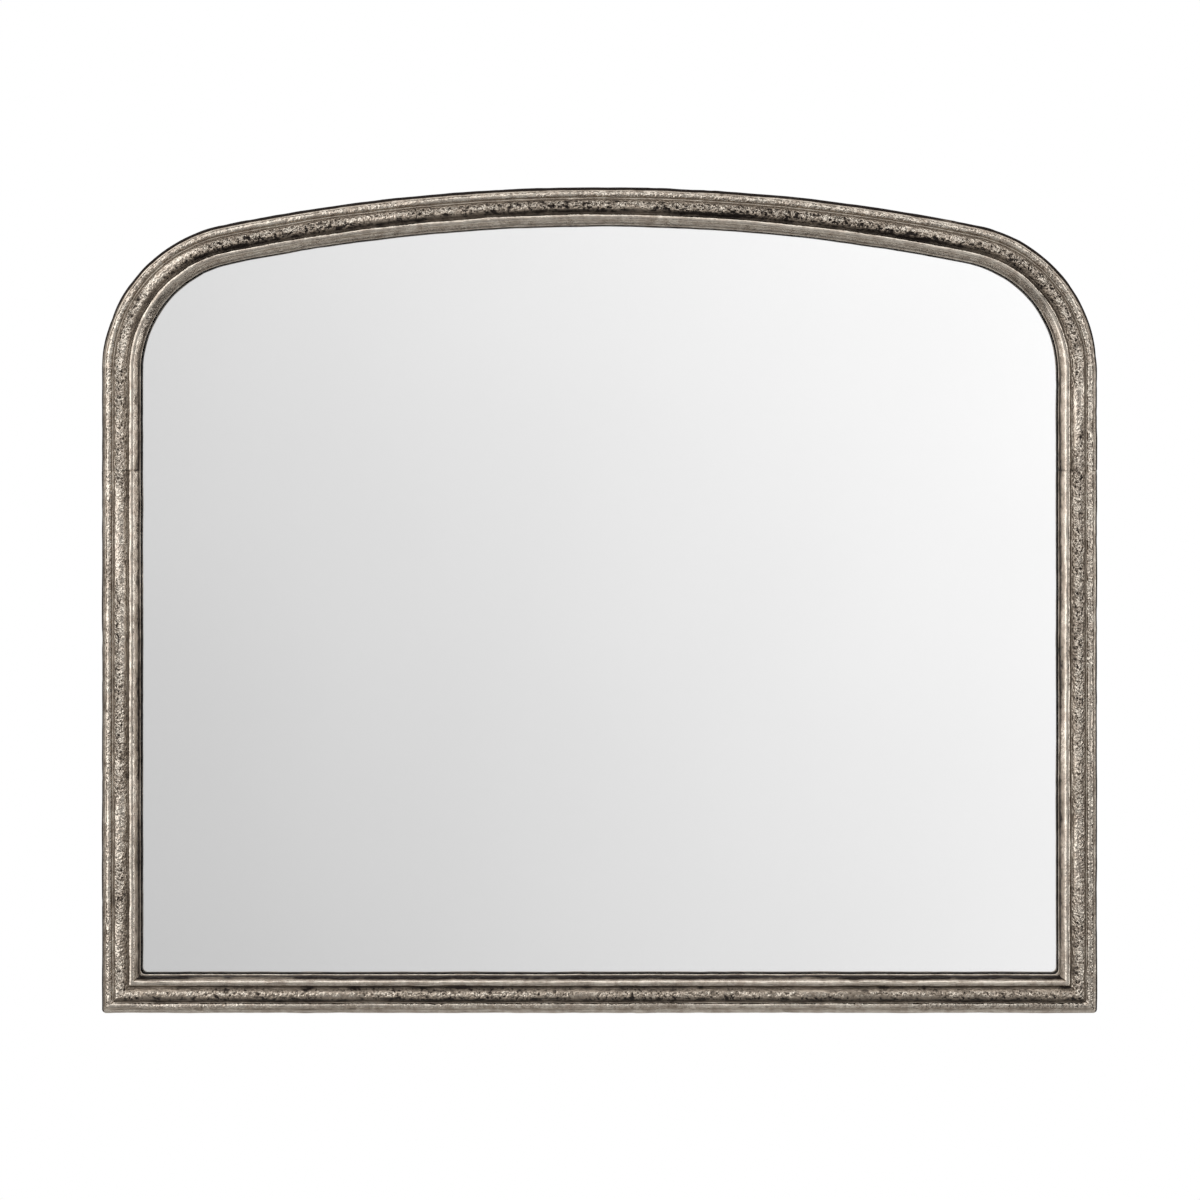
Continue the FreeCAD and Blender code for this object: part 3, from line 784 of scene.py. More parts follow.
@dataclass(frozen=True)
class Fixings:
    """Where the screws go, in x and z, all on the middle line of the hollow back."""

    line: float = 14.25 * MM
    rail_reach: Span = (130 * MM, 340 * MM)
    stile_height: Span = (-510 * MM, -240 * MM)
    hanger_height: Span = (-44 * MM, -26 * MM)
    crown_turn: float = 6.5
    shoulder_turn: float = 45.0

    @property
    def upright(self) -> float:
        """Distance of the sides' line from the middle."""
        return OUTLINE.half_width - self.line

    def rail(self) -> Array:
        """Four along the base."""
        reach = np.array(self.rail_reach)
        return column(OUTLINE.base + self.line, np.concatenate([-reach, reach]))[:, ::-1]

    def stile(self, side: Side) -> Array:
        """Two through the board into a stile."""
        return column(side.value * self.upright, np.array(self.stile_height))

    def hangers(self) -> Array:
        """Two through each strap."""
        heights = np.array(self.hanger_height)
        return np.concatenate([column(side.value * self.upright, heights) for side in Side])

    def arch(self) -> Array:
        """Three along the crown and one in each shoulder, at their angles on arcs that run inside the edge.

        Returns:
            The places, as x and z.
        """
        turn = np.radians([-self.crown_turn, 0.0, self.crown_turn])
        radius = OUTLINE.crown - self.line
        crown = np.stack([radius * np.sin(turn), OUTLINE.top - OUTLINE.crown + radius * np.cos(turn)], 1)
        bend = math.radians(self.shoulder_turn)
        x = OUTLINE.reach + (OUTLINE.shoulder - self.line) * math.cos(bend)
        z = OUTLINE.spring + (OUTLINE.shoulder - self.line) * math.sin(bend)
        return np.concatenate([crown, [[-x, z], [x, z]]])

    def board(self) -> Array:
        """All that hold the board."""
        return np.concatenate([self.rail(), *(self.stile(side) for side in Side), self.arch()])


FIXINGS = Fixings()


@dataclass(frozen=True)
class PaintedShadeLine:
    """A line along the moulding of painted shade, or painted light below 0, by how the outer edge faces."""

    inset: float  # of its middle
    width: float  # half-width of its bell curve
    shade_and_light_by_facing: Triple  # down, sideways and up; painted shade, and painted light below 0


@dataclass(frozen=True)
class Ripple:
    """Noise over a casting's skin."""

    long: float  # size of its cells along the casting
    wide: float  # size of its cells round the section
    draw: int  # what is added to the casting's seed
    amount: float = 1.0


@dataclass(frozen=True)
class Wear:
    """What sand, file, cloth and wax leave on the castings, with painted shade and light by how they face.

    Where three values stand together, they hold where the outer edge faces down, as on the rail, sideways, as
    on the stiles, and up, as on the crown.
    """

    sways: tuple[Ripple, ...] = (Ripple(30 * MM, 9 * MM, 0), Ripple(12 * MM, 5 * MM, 1, 0.5))
    grains: tuple[Ripple, ...] = (Ripple(2.8 * MM, 2.4 * MM, 2, 0.8), Ripple(1.6 * MM, 1.5 * MM, 3, 0.4))
    calms: tuple[Ripple, ...] = (Ripple(60 * MM, 9 * MM, 4), Ripple(21 * MM, 9 * MM, 10, 0.6))
    pits: tuple[Ripple, ...] = (Ripple(2.4 * MM, 2.2 * MM, 5),)
    dents: tuple[Ripple, ...] = (Ripple(14 * MM, 4 * MM, 6),)
    patches: tuple[Ripple, ...] = (Ripple(55 * MM, 14 * MM, 7), Ripple(9 * MM, 6 * MM, 8, 0.5))
    seam_ripple: Ripple = Ripple(40 * MM, 4 * MM, 9, 0.5)
    calm_range: Span = (-0.85, 0.15)
    pit_range: Span = (0.3, 0.7)
    dent_range: Span = (0.5, 0.9)
    sway: float = 0.30 * MM
    grit_height: float = 0.40 * MM
    calm_grit: float = 0.35  # share that is left in quiet patches
    pit_depth: float = 0.40 * MM
    dent_depth: float = 0.22 * MM
    seam_depth: float = 0.35 * MM
    seam_width: float = 0.9 * MM
    seam_level: float = 0.65  # its mean depth and wax, about which the ripple goes
    grit_shares: Triple = (0.58, 1.0, 1.0)
    groove_fills: Triple = (1.4 * MM, 0.5 * MM, 1.3 * MM)
    fill_width: float = 0.7 * MM
    # Painted shade along the outermost edge, by how it faces: the width of its band, its fade and its
    # strength.
    edge_widths: Triple = (0.8 * MM, 2.4 * MM, 3.8 * MM)
    edge_fade: Span = (1.0, 0.5)  # shares of the width from no painted shade to full painted shade
    edge_painted_shade: Triple = (0.10, 1.40, 1.50)
    # Painted shade down the lip, by how the edge faces: darkest on the rail, nearly none on the crown.
    lip_painted_shade: Triple = (1.25, 0.70, 0.05)
    # Painted shade on the gritty skin of the rail and crown, and painted light on the sides, where it is
    # below 0.
    grit_painted_shade_and_light: Triple = (0.30, -0.22, 0.14)
    # Lines of painted shade, and of painted light where below 0, over the grooves and the lip's foot.
    lines: tuple[PaintedShadeLine, ...] = (
        PaintedShadeLine(3.45 * MM, 0.7 * MM, (0.05, 0.30, 0.10)),
        PaintedShadeLine(11.45 * MM, 1.3 * MM, (0.0, -0.45, -0.65)),
        PaintedShadeLine(26.3 * MM, 1.3 * MM, (0.0, -0.35, 0.0)),
        PaintedShadeLine(36.8 * MM, 0.9 * MM, (0.0, 0.72, 0.1)),
    )
    pit_wax: float = 0.9
    crest_rub: float = 0.3  # wax that is rubbed off the grit's crests
    dent_wax: float = 0.25
    seam_wax: float = 0.5
    # Painted shade under the gritty flanks that face down.
    underside_painted_shade: float = 0.9
    most_wax: float = 1.15
    patchy_coat: float = 0.32
    patchy_edge: float = 0.3
    patchy_line: float = 0.4

    def over(
        self,
        section: Section,
        run: Array,
        ends: Array,
        seam: Array,
        facing: Array,
        seed: int,
    ) -> tuple[Array, Array, dict[str, Array]]:
        """Roughen the section along its run, and lay the wax with painted shade and light in it.

        The reeds sway sideways by long noise. The gritty bands rise and fall by fine noise, lie quieter in
        patches, and have pits where a third noise is high. There are a few shallow dents. All of it dies away
        at mitred ends. A bell curve lowers the face at a seam and leaves wax there, and another partly fills
        the groove next to the edge. Wax stays in pits and dents. Painted shade goes along the outermost edge,
        down the lip, over the gritty skin and under the flanks that face down, and along the shade lines,
        which are bell curves too; where these are below 0 they are painted light instead.

        Args:
            section: The section.
            run: Distance along the casting, a row for each station and a column for each point.
            ends: How much of the wear is left, from 0 at a mitre to 1.
            seam: Distance of each station from the nearest seam.
            facing: How the outer edge faces at each station: 1 up, 0 sideways, -1 down.
            seed: Seed of the noise.

        Returns:
            Inset and height of each point, and the wax, with painted shade and light, and grit painted on it.
        """

        def turned(values: Triple) -> Array:
            """Blend what is given for edges that face down, sideways and up by how each station faces."""
            return np.interp(facing, [-1, 0, 1], values)

        def bell(middle: float, width: float) -> Array:
            """Bell curve over the inset of the points on the front."""
            return np.exp(-(((section.inset - middle) / width) ** 2)) * on_front

        def rippled(ripples: tuple[Ripple, ...]) -> Array:
            """Sum of the ripples at each point."""
            return sum(r.amount * value_noise(run, girth, r.long, r.wide, seed + r.draw) for r in ripples)

        girth = np.broadcast_to(section.girth, run.shape)
        normal_in, normal_up = section.normal.T
        front = np.hypot(normal_in, normal_up)
        on_front = normal_up > 0
        grain = rippled(self.grains)
        quiet = smoothstep(*self.calm_range, rippled(self.calms))
        pits = smoothstep(*self.pit_range, rippled(self.pits))
        dents = smoothstep(*self.dent_range, rippled(self.dents))
        grit = section.grit * (self.calm_grit + (1 - self.calm_grit) * quiet) * turned(self.grit_shares)
        lift = (grit * (self.grit_height * grain - self.pit_depth * pits) - self.dent_depth * dents) * front
        uneven = self.seam_ripple
        level = uneven.amount * value_noise(girth, run, uneven.wide, uneven.long, seed + uneven.draw)
        joint = np.exp(-((seam / self.seam_width) ** 2)) * front * (self.seam_level + level)
        lift = lift * ends - self.seam_depth * joint
        shift = self.sway * rippled(self.sways) * ends * front
        patchy = rippled(self.patches)
        coat = 1 + self.patchy_coat * patchy
        held = grit * (self.pit_wax * pits - self.crest_rub * grain) + self.dent_wax * dents
        wax = section.wax * coat + held * front + self.seam_wax * joint
        # Painted shade: the outermost edge is darkened, little on the rail and much on the sides and crown.
        edge = smoothstep(*self.edge_fade, section.inset / turned(self.edge_widths)) * on_front
        wax = wax + turned(self.edge_painted_shade) * edge * (1 + self.patchy_edge * patchy)
        # Painted shade down the lip, by how the edge faces.
        wax = wax + turned(self.lip_painted_shade) * section.lip * coat
        # Painted shade and painted light on the gritty skin, by how the edge faces.
        wax = wax + turned(self.grit_painted_shade_and_light) * section.grit * front
        # Painted shade under the flanks that face down.
        wax = wax + self.underside_painted_shade * np.clip(facing * normal_in, 0, 1) * section.grit
        # Painted shade and painted light along lines, by how the edge faces.
        for line in self.lines:
            wax = wax + turned(line.shade_and_light_by_facing) * bell(line.inset, line.width) * (1 + self.patchy_line * patchy)
        filled = turned(self.groove_fills) * bell(section.first_groove, self.fill_width)
        inset = section.inset + shift + lift * normal_in
        height = section.height + lift * normal_up + filled
        # The painted wax holds painted shade and painted light as well as real wax.
        return inset, height, {"wax": np.clip(wax, 0, self.most_wax), "grit": grit}


@dataclass
class CastFrame:
    """The four castings of the frame: an arch, two stiles and a bottom rail."""

    moulding: Moulding = Moulding()
    wear: Wear = Wear()
    finish: AntiqueSilver = AntiqueSilver()
    spacing: float = 1.26 * MM
    inner_corner: float = 4.5 * MM  # radius of the lip's lower corners at the sight line
    mitre_fade: float = 7 * MM  # distance from a mitre over which the wear sets in
    boss_radii: Span = (1.8 * MM, 5.0 * MM)  # bore and outside
    boss_length: float = 11.2 * MM
    boss_steps: int = 24
    boss_paint: float = 0.5  # wax and grit
    sharp_degrees: float = 62.0
    section: Section = field(init=False)

    def __post_init__(self) -> None:
        """Work out the section, which all four castings share."""
        self.section = self.moulding.section()

    def bosses(self, places: Array) -> Surface:
        """Drilled bosses across the hollow back: a rectangle in radius and height, turned at each fixing.

        Args:
            places: The fixings, as x and z.

        Returns:
            The bosses' surface.
        """
        bore, outside = self.boss_radii
        radius = np.array([bore, outside, outside, bore])[:, None]
        height = np.array([0.0, 0.0, self.boss_length, self.boss_length])[:, None]
        points = lathed(places, radius, CASTING_PLANE - height, circle(self.boss_steps))
        return skins(points, looped=True).outward()

    def finished(
        self,
        name: str,
        x: Array,
        z: Array,
        height: Array,
        paint: dict[str, Array],
        run: Array,
        fixings: Array,
    ) -> None:
        """Make one casting from its grid of points, closed at both ends, and the bosses behind it.

        Args:
            name: The casting's name, which is also its solid's.
            x: Places across the mirror.
            z: Places up the mirror.
            height: Distances in front of the castings' back plane.
            paint: What is painted on each point.
            run: Distances along the casting.
            fixings: Places of its bosses in x and z.
        """
        shell = skins(np.stack([x, CASTING_PLANE - height, z], -1)[None]).outward()
        posts = self.bosses(fixings)
        plain = np.full(len(posts.points), self.boss_paint)
        girth = np.broadcast_to(self.section.girth, x.shape)
        surface = Surface(
            np.concatenate([shell.points, posts.points]),
            shell.faces + [[corner + len(shell.points) for corner in face] for face in posts.faces],
            {kind: np.concatenate([values.ravel(), plain]) for kind, values in paint.items()},
            np.concatenate([np.stack([run, girth], -1).reshape(-1, 2), posts.points[:, [0, 2]]]),
            self.sharp_degrees,
        )
        surface.piece(name + "_skin", "mirror", "cast_frame", self.finish.material(), name)

    def build_arch(self) -> None:
        """Carry the section over the arch: a point lies its inset along its station's inward direction."""
        path, inward, run = OUTLINE.arch_run(self.spacing)
        runs = np.broadcast_to(run[:, None], (len(run), len(self.section.inset)))
        seam = np.minimum(runs, run[-1] - runs)
        ends, facing = np.ones_like(runs), -inward[:, 1:]
        inset, height, paint = self.wear.over(self.section, runs, ends, seam, facing, Draw.ARCH)
        x = path[:, :1] + inset * inward[:, :1]
        z = path[:, 1:] + inset * inward[:, 1:]
        fixings = np.concatenate([FIXINGS.arch(), FIXINGS.hangers()])
        self.finished("arch_casting", x, z, height, paint, runs, fixings)

    def rounded(self, aside: Array, above: Array) -> tuple[Array, Array]:
        """Bend the outermost lines round the lower corners, and the lip's round the corners of the glass.

        A line at inset u within the corner's radius r turns along an arc of radius r - u about the point r in
        from both edges, through 45 degrees to the mitre. On the lip, whose radius q grows along a smoothstep
        from the foot of the last reed to the sight line, it turns along an arc about the point u + q in.

        Args:
            aside: Distance of each point from the edge that its casting runs along.
            above: Distance of each point from the other edge.

        Returns:
            The two distances, bent.
        """
        inset, radius, sight = self.section.inset, OUTLINE.corner, self.moulding.face_width
        left = np.maximum(radius - inset, TINY)
        turn = np.clip((radius - above) / left, 0, 1) * math.pi / 4
        bent = (above < radius) & (inset < radius)
        aside = np.where(bent, aside - inset + radius - left * np.cos(turn), aside)
        above = np.where(bent, radius - left * np.sin(turn), above)
        hollow = self.inner_corner * smoothstep(sight - self.moulding.reeds[-1].gap, sight, inset)
        inside = above - inset < hollow
        turn = np.clip(1 - (above - inset) / np.maximum(hollow, TINY), 0, 1) * math.pi / 4
        return (
            np.where(inside, aside + hollow * (1 - np.cos(turn)), aside),
            np.where(inside, inset + hollow * (1 - np.sin(turn)), above),
        )

    def build_stile(self, side: Side) -> None:
        """Carry the section down a side, each line as far as the mitre at its own inset above the base.

        Args:
            side: Which side.
        """
        length = OUTLINE.seam - OUTLINE.base
        share = np.linspace(0, 1, round(length / self.spacing))[:, None]
        above = length - share * (length - self.section.inset)
        run = length - above
        ends = smoothstep(0, self.mitre_fade, above - self.section.inset)
        seed = Draw.STILES + side.value
        inset, height, paint = self.wear.over(self.section, run, ends, run, np.zeros_like(share), seed)
        aside, raised = self.rounded(inset, above)
        x = side.value * (OUTLINE.half_width - aside)
        z = OUTLINE.base + raised
        self.finished(f"{side.word}_stile", x, z, height, paint, run, FIXINGS.stile(side))

    def build_rail(self) -> None:
        """Carry the section along the base, each line between the mitres at its own inset from the sides."""
        half = OUTLINE.half_width
        share = np.linspace(-1, 1, round(2 * half / self.spacing))[:, None]
        x = share * (half - self.section.inset)
        from_side = half - np.abs(x)
        ends = smoothstep(0, self.mitre_fade, from_side - self.section.inset)
        run = x + half
        far = np.full_like(x, half)
        inset, height, paint = self.wear.over(self.section, run, ends, far, -np.ones_like(share), Draw.RAIL)
        raised, aside = self.rounded(inset, from_side)
        x = np.sign(x) * (half - aside)
        z = OUTLINE.base + raised
        self.finished("bottom_rail", x, z, height, paint, run, FIXINGS.rail())

    def build(self) -> None:
        """Make all four castings."""
        self.build_arch()
        for side in Side:
            self.build_stile(side)
        self.build_rail()


def dress(node: str, *finishes: Finish) -> bpy.types.Object:
    """Give a solid that keeps its shape its finish.

    Args:
        node: The solid's name.
        finishes: Its finishes; the first is on all its faces.

    Returns:
        The solid's object.
    """
    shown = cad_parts[node]
    shown.data.materials.clear()
    for finish in finishes:
        shown.data.materials.append(finish.material())
        log.info("%s: dressed in %s", node, finish.name)
    return shown


@dataclass
class GlassPack:
    """The silvered glass and what beds it: tape, foam, blocks and packers."""

    silver_plane: float = -17.0 * MM
    plane_slack: float = 0.1 * MM  # how near to that plane a silvered face lies
    facing_back: float = 0.9  # how squarely it faces back
    paint_coat: float = 0.2 * MM
    foam_inset: float = 32.5 * MM
    foam_spacing: float = 6 * MM

    def dress_glass(self) -> None:
        """Give the glass its clear skin, and its back face the silvering."""
        polygons = dress("mirror_glass", FloatGlass(), Silvering()).data.polygons
        centres, normals = (np.zeros(len(polygons) * 3, np.float32) for _ in range(2))
        polygons.foreach_get("center", centres)
        polygons.foreach_get("normal", normals)
        on_back = np.abs(centres[1::3] - self.silver_plane) < self.plane_slack
        silvered = on_back & (normals[1::3] > self.facing_back)
        polygons.foreach_set("material_index", silvered.astype(np.int32))

    def build_foam(self) -> None:
        """Lay the foam behind the coat of paint that guards the silver: the arch's outline, inset, twice."""
        path, inward, _ = OUTLINE.arch_run(self.foam_spacing)
        edge = path + self.foam_inset * inward
        foot = edge[[-1, 0]]
        foot[:, 1] = OUTLINE.base + self.foam_inset
        x, z = np.concatenate([edge, foot]).T
        depths = (self.silver_plane + self.paint_coat, CASTING_PLANE)
        rings = np.stack([np.stack([x, np.full(len(x), y), z], 1) for y in depths])
        surface = skins(rings[None]).outward()
        surface.piece("foam_cushion", "mirror", "foam", FOAM.material(), "foam_sheet")

    def build(self) -> None:
        """Dress the pack."""
        self.dress_glass()
        self.build_foam()
        dress("bedding_tape", FELT)
        for side in Side:
            for part in ("setting_block", "lower_packer", "upper_packer"):
                dress(f"{side.word}_{part}", BLOCK_RUBBER)


@dataclass(frozen=True)
class PanScrew:
    """A pan-head screw with a cross recess and a coarse thread.

    Radii and heights of the rim are shares of the head's, and radii of the tip are shares of the shank's. The
    arms of the recess rise between the two distances from its middle line that are given for each direction.
    """

    head_radius: float = 3.4 * MM
    head_height: float = 2.2 * MM
    head_shares: Span = (0.05, 1.0)
    head_steps: int = 15
    crown_fall: float = 0.42
    rim_radii: Span = (1.0, 0.97)
    rim_heights: Span = (0.12, 0.0)
    shank_radius: float = 1.75 * MM
    shank_length: float = 16.0 * MM
    shank_start: float = 0.3 * MM
    tip_radii: Span = (0.7, 0.2)
    tip_heights: Span = (0.9 * MM, 0.0)
    pitch: float = 1.4 * MM
    pitch_steps: int = 5
    thread_depth: float = 0.4 * MM
    thread_start: float = 1.0 * MM
    thread_end: float = 2.0 * MM
    thread_power: float = 1.5
    recess_depth: float = 1.3 * MM
    arm_length: Span = (1.1 * MM, 2.2 * MM)
    arm_width: Span = (0.3 * MM, 0.7 * MM)
    turn_steps: int = 40

    def driven(self, places: Array, seat: float, seed: int) -> Surface:
        """Turn the screw's outline about its axis at each place, each screw at its own angle.

        The head falls from its crown with the cube of the radius. The recess is two crossed arms, each a pair
        of smoothsteps in its length and width. The thread is a cosine along the shank that winds once round
        for each pitch.

        Args:
            places: Places in x and z.
            seat: Depth in y at which the heads sit.
            seed: Seed of the screws' angles.

        Returns:
            The surface of all the screws.
        """
        head = np.linspace(*self.head_shares, self.head_steps)
        step = self.pitch / self.pitch_steps
        shank = np.arange(self.shank_start, self.shank_length - self.thread_end, step)
        radius = np.concatenate([
            head * self.head_radius,
            np.array(self.rim_radii) * self.head_radius,
            np.full(len(shank), self.shank_radius),
            np.array(self.tip_radii) * self.shank_radius,
        ])
        height = np.concatenate([
            self.head_height * (1 - self.crown_fall * head**3),
            np.array(self.rim_heights) * self.head_height,
            -shank,
            -self.shank_length + np.array(self.tip_heights),
        ])
        r, angle = np.meshgrid(radius, circle(self.turn_steps), indexing="ij")
        along, across = np.abs(r * np.cos(angle)), np.abs(r * np.sin(angle))
        arms = [
            (1 - smoothstep(*self.arm_length, a)) * (1 - smoothstep(*self.arm_width, b))
            for a, b in ((along, across), (across, along))
        ]
        h = np.broadcast_to(height[:, None], r.shape)
        h = h - self.recess_depth * np.maximum(*arms) * (h > self.head_height / 2)
        wound = 0.5 - 0.5 * np.cos(2 * math.pi * h / self.pitch + angle)
        threaded = (h < -self.thread_start) & (h > self.thread_end - self.shank_length)
        r = r - self.thread_depth * wound**self.thread_power * threaded
        own = np.random.default_rng(seed).uniform(0, 2 * math.pi, len(places))[:, None, None]
        return skins(lathed(places, r, seat + h, angle + own)).outward()


@dataclass(frozen=True)
class HangerStrap:
    """A folded steel strap: a flat plate on the board whose top is curled round the ring's bar."""

    width: float = 12.0 * MM
    length: float = 52.0 * MM
    thickness: float = 1.5 * MM
    corner: float = 4.0 * MM  # radius at the foot
    edge: float = 0.35 * MM  # radius of the long edges
    rise: float = 8 * MM  # length over which the plate leaves the board
    curl_radius: float = 2.33 * MM
    curl_turn: float = 288.0
    foot_start: float = 0.08  # share of the corner's quarter turn
    foot_steps: int = 9
    plate_steps: int = 16
    curl_steps: int = 41
    edge_turn: float = 22.5  # degrees from point to point

    def folded(self, side: Side) -> Surface:
        """Carry a rounded rectangle up the plate and round the curl.

        The plate's half-width follows a quarter circle at each corner of its foot. Near the top the plate
        leaves the board by a smoothstep to meet the curl, a circle about the bar.

        Args:
            side: Which strap.

        Returns:
            The strap's surface.
        """
        foot = self.corner * (1 - np.cos(np.linspace(self.foot_start, 1, self.foot_steps) * math.pi / 2))
        up = np.concatenate([foot, np.linspace(self.corner, self.length, self.plate_steps)[1:-1]])
        rest = BOARD_PLANE + self.thickness / 2
        lift = (BAR_PLANE - self.curl_radius - rest) * smoothstep(self.length - self.rise, self.length, up)
        plate = np.stack([rest + lift, up - self.length], 1)
        bend = math.pi - np.radians(np.linspace(0, self.curl_turn, self.curl_steps))
        curl, spoke = swept([(BAR_PLANE, 0.0, self.curl_radius, bend)])
        path = np.concatenate([plate, curl])
        facing = np.concatenate([np.tile([1.0, 0.0], (len(plate), 1)), -spoke])
        half = np.full(len(path), self.width / 2)
        half[: len(foot)] -= self.corner - np.sqrt(self.corner**2 - (self.corner - foot) ** 2)
        bevel = np.radians(np.arange(0, 360, self.edge_turn)).reshape(4, -1)
        bevel = np.concatenate([bevel, bevel[:, -1:] + math.radians(self.edge_turn)], 1)
        right = np.sign(np.cos(bevel.mean(1)))[:, None]
        front = np.sign(np.sin(bevel.mean(1)))[:, None]
        across = np.broadcast_to(right, bevel.shape).ravel()
        over = (self.edge * (np.cos(bevel) - right)).ravel()
        deep = (front * (self.thickness / 2 - self.edge) + self.edge * np.sin(bevel)).ravel()
        x = side.value * FIXINGS.upright + half[:, None] * across + over
        y = path[:, :1] + deep * facing[:, :1]
        z = path[:, 1:] + deep * facing[:, 1:]
        return skins(np.stack([x, y, z], -1)[None]).outward()


@dataclass(frozen=True)
class HangingRing:
    """A D-shaped ring of drawn wire: a straight bar, two bends, two short sides and a round bow."""

    wire: float = 1.5 * MM
    half_width: float = 10.5 * MM
    bend: float = 4.0 * MM
    side_length: float = 4.0 * MM
    bend_steps: int = 12
    bow_steps: int = 48
    wire_steps: int = 20

    def bent(self, side: Side) -> Surface:
        """Carry a circle round the D: at angle t it lies wire * (cos t outwards + sin t along y) off it.

        Args:
            side: Which ring.

        Returns:
            The ring's surface.
        """
        bar = self.half_width - self.bend
        bow = -self.bend - self.side_length
        corners = (
            (bar, -self.bend, self.bend, 90.0, 0.0, self.bend_steps),
            (0.0, bow, self.half_width, 0.0, -180.0, self.bow_steps),
            (-bar, -self.bend, self.bend, 180.0, 90.0, self.bend_steps),
        )
        centre, spoke = swept([
            (x, z, radius, np.radians(np.linspace(start, stop, steps)))
            for x, z, radius, start, stop, steps in corners
        ])
        turn = circle(self.wire_steps)
        x = side.value * FIXINGS.upright + centre[:, :1] + self.wire * spoke[:, :1] * np.cos(turn)
        z = centre[:, 1:] + self.wire * spoke[:, 1:] * np.cos(turn)
        y = np.broadcast_to(BAR_PLANE + self.wire * np.sin(turn), x.shape)
        return skins(np.stack([x, y, z], -1)[None], looped=True).outward()


@dataclass(frozen=True)
class WallBumper:
    """A moulded rubber foot: a tapered wall, a rounded rim and a shallow dish in its face."""

    inset: float = 455.0 * MM
    base_radius: float = 9.0 * MM
    tip_radius: float = 8.0 * MM
    height: float = 8.0 * MM
    rim: float = 1.6 * MM
    rim_steps: int = 7
    dish_radius: float = 4.5 * MM
    dish_slope: float = 2.0 * MM
    dish_depth: float = 0.8 * MM
    dish_steps: int = 14
    pole: float = 0.2 * MM
    turn_steps: int = 48

    def moulded(self, side: Side, level: float) -> Surface:
        """Turn the outline about the foot's axis: a taper, a quarter circle at the rim, a smoothstep dish.

        Args:
            side: Which side of the board.
            level: Height of the axis in z.

        Returns:
            The foot's surface.
        """
        bend = np.radians(np.linspace(0, 90, self.rim_steps))
        rim_middle = self.tip_radius - self.rim
        face = np.linspace(rim_middle, self.pole, self.dish_steps)[1:]
        radius = np.concatenate([[self.pole, self.base_radius], rim_middle + self.rim * np.cos(bend), face])
        rim = self.height - self.rim + self.rim * np.sin(bend)
        dish = self.dish_depth * smoothstep(self.dish_radius, self.dish_radius - self.dish_slope, face)
        height = np.concatenate([[0.0, 0.0], rim, self.height - dish])
        place = np.array([[side.value * self.inset, level]])
        depth = height - self.height
        return skins(lathed(place, radius[:, None], depth[:, None], circle(self.turn_steps))).outward()


@dataclass
class Back:
    """The boarded back: board, screws, joint plates, straps, rings and bumpers."""

    strap: HangerStrap = HangerStrap()
    ring: HangingRing = HangingRing()
    bumper: WallBumper = WallBumper()
    board_screw: PanScrew = PanScrew()
    strap_screw: PanScrew = PanScrew(shank_length=17.5 * MM)
    bumper_levels: tuple[tuple[str, float], ...] = (("lower", -595 * MM), ("upper", 60 * MM))

    def build(self) -> None:
        """Make what shows on the back, and dress the board and what it hides."""
        dress("backing_board", FIBREBOARD)
        dress("plate_screws", ZINC)
        zinc, steel, rubber = ZINC.material(), STRAP_STEEL.material(), BUMPER_RUBBER.material()
        screws = self.board_screw.driven(FIXINGS.board(), BOARD_PLANE, Draw.BOARD_SCREWS)
        screws.piece("board_pan_screws", "mirror", "zinc_screws", zinc, "board_screws")
        strap_plane = BOARD_PLANE + self.strap.thickness
        screws = self.strap_screw.driven(FIXINGS.hangers(), strap_plane, Draw.STRAP_SCREWS)
        screws.piece("hanger_pan_screws", "mirror", "zinc_screws", zinc, "hanger_screws")
        for side in Side:
            word = side.word
            for part in ("splice_plate", "corner_plate"):
                dress(f"{word}_{part}", PLATE_STEEL)
            strap = self.strap.folded(side)
            strap.piece(f"{word}_folded_strap", "mirror", "hanger_steel", steel, f"{word}_hanger_strap")
            ring = self.ring.bent(side)
            ring.piece(f"{word}_d_ring", f"{word}_ring", "hanger_steel", steel, f"{word}_hanging_ring")
            for place, level in self.bumper_levels:
                foot = self.bumper.moulded(side, level)
                name = f"{word}_{place}_rubber_foot"
                foot.piece(name, "mirror", "bumper_rubber", rubber, f"{word}_{place}_bumper")


@dataclass(frozen=True)
class SoftBox:
    """A lit part of the tent, whose edges fade along a smoothstep."""

    strength: float  # 1 is white
    azimuth: Four  # degrees to the viewer's right at which it starts, is full, starts to fade and ends
    elevation: Four  # the same in degrees above the horizon

    def share(self, azimuth: Array, elevation: Array) -> Array:
        """How much of it lies in each direction: a smoothstep up and one down, in both angles.

        Args:
            azimuth: Degrees to the viewer's right.
            elevation: Degrees above the horizon.

        Returns:
            Shares from 0 to 1.
        """
        shares = [
            smoothstep(start, full, angle) * (1 - smoothstep(fade, end, angle))
            for (start, full, fade, end), angle in ((self.azimuth, azimuth), (self.elevation, elevation))
        ]
        return shares[0] * shares[1]


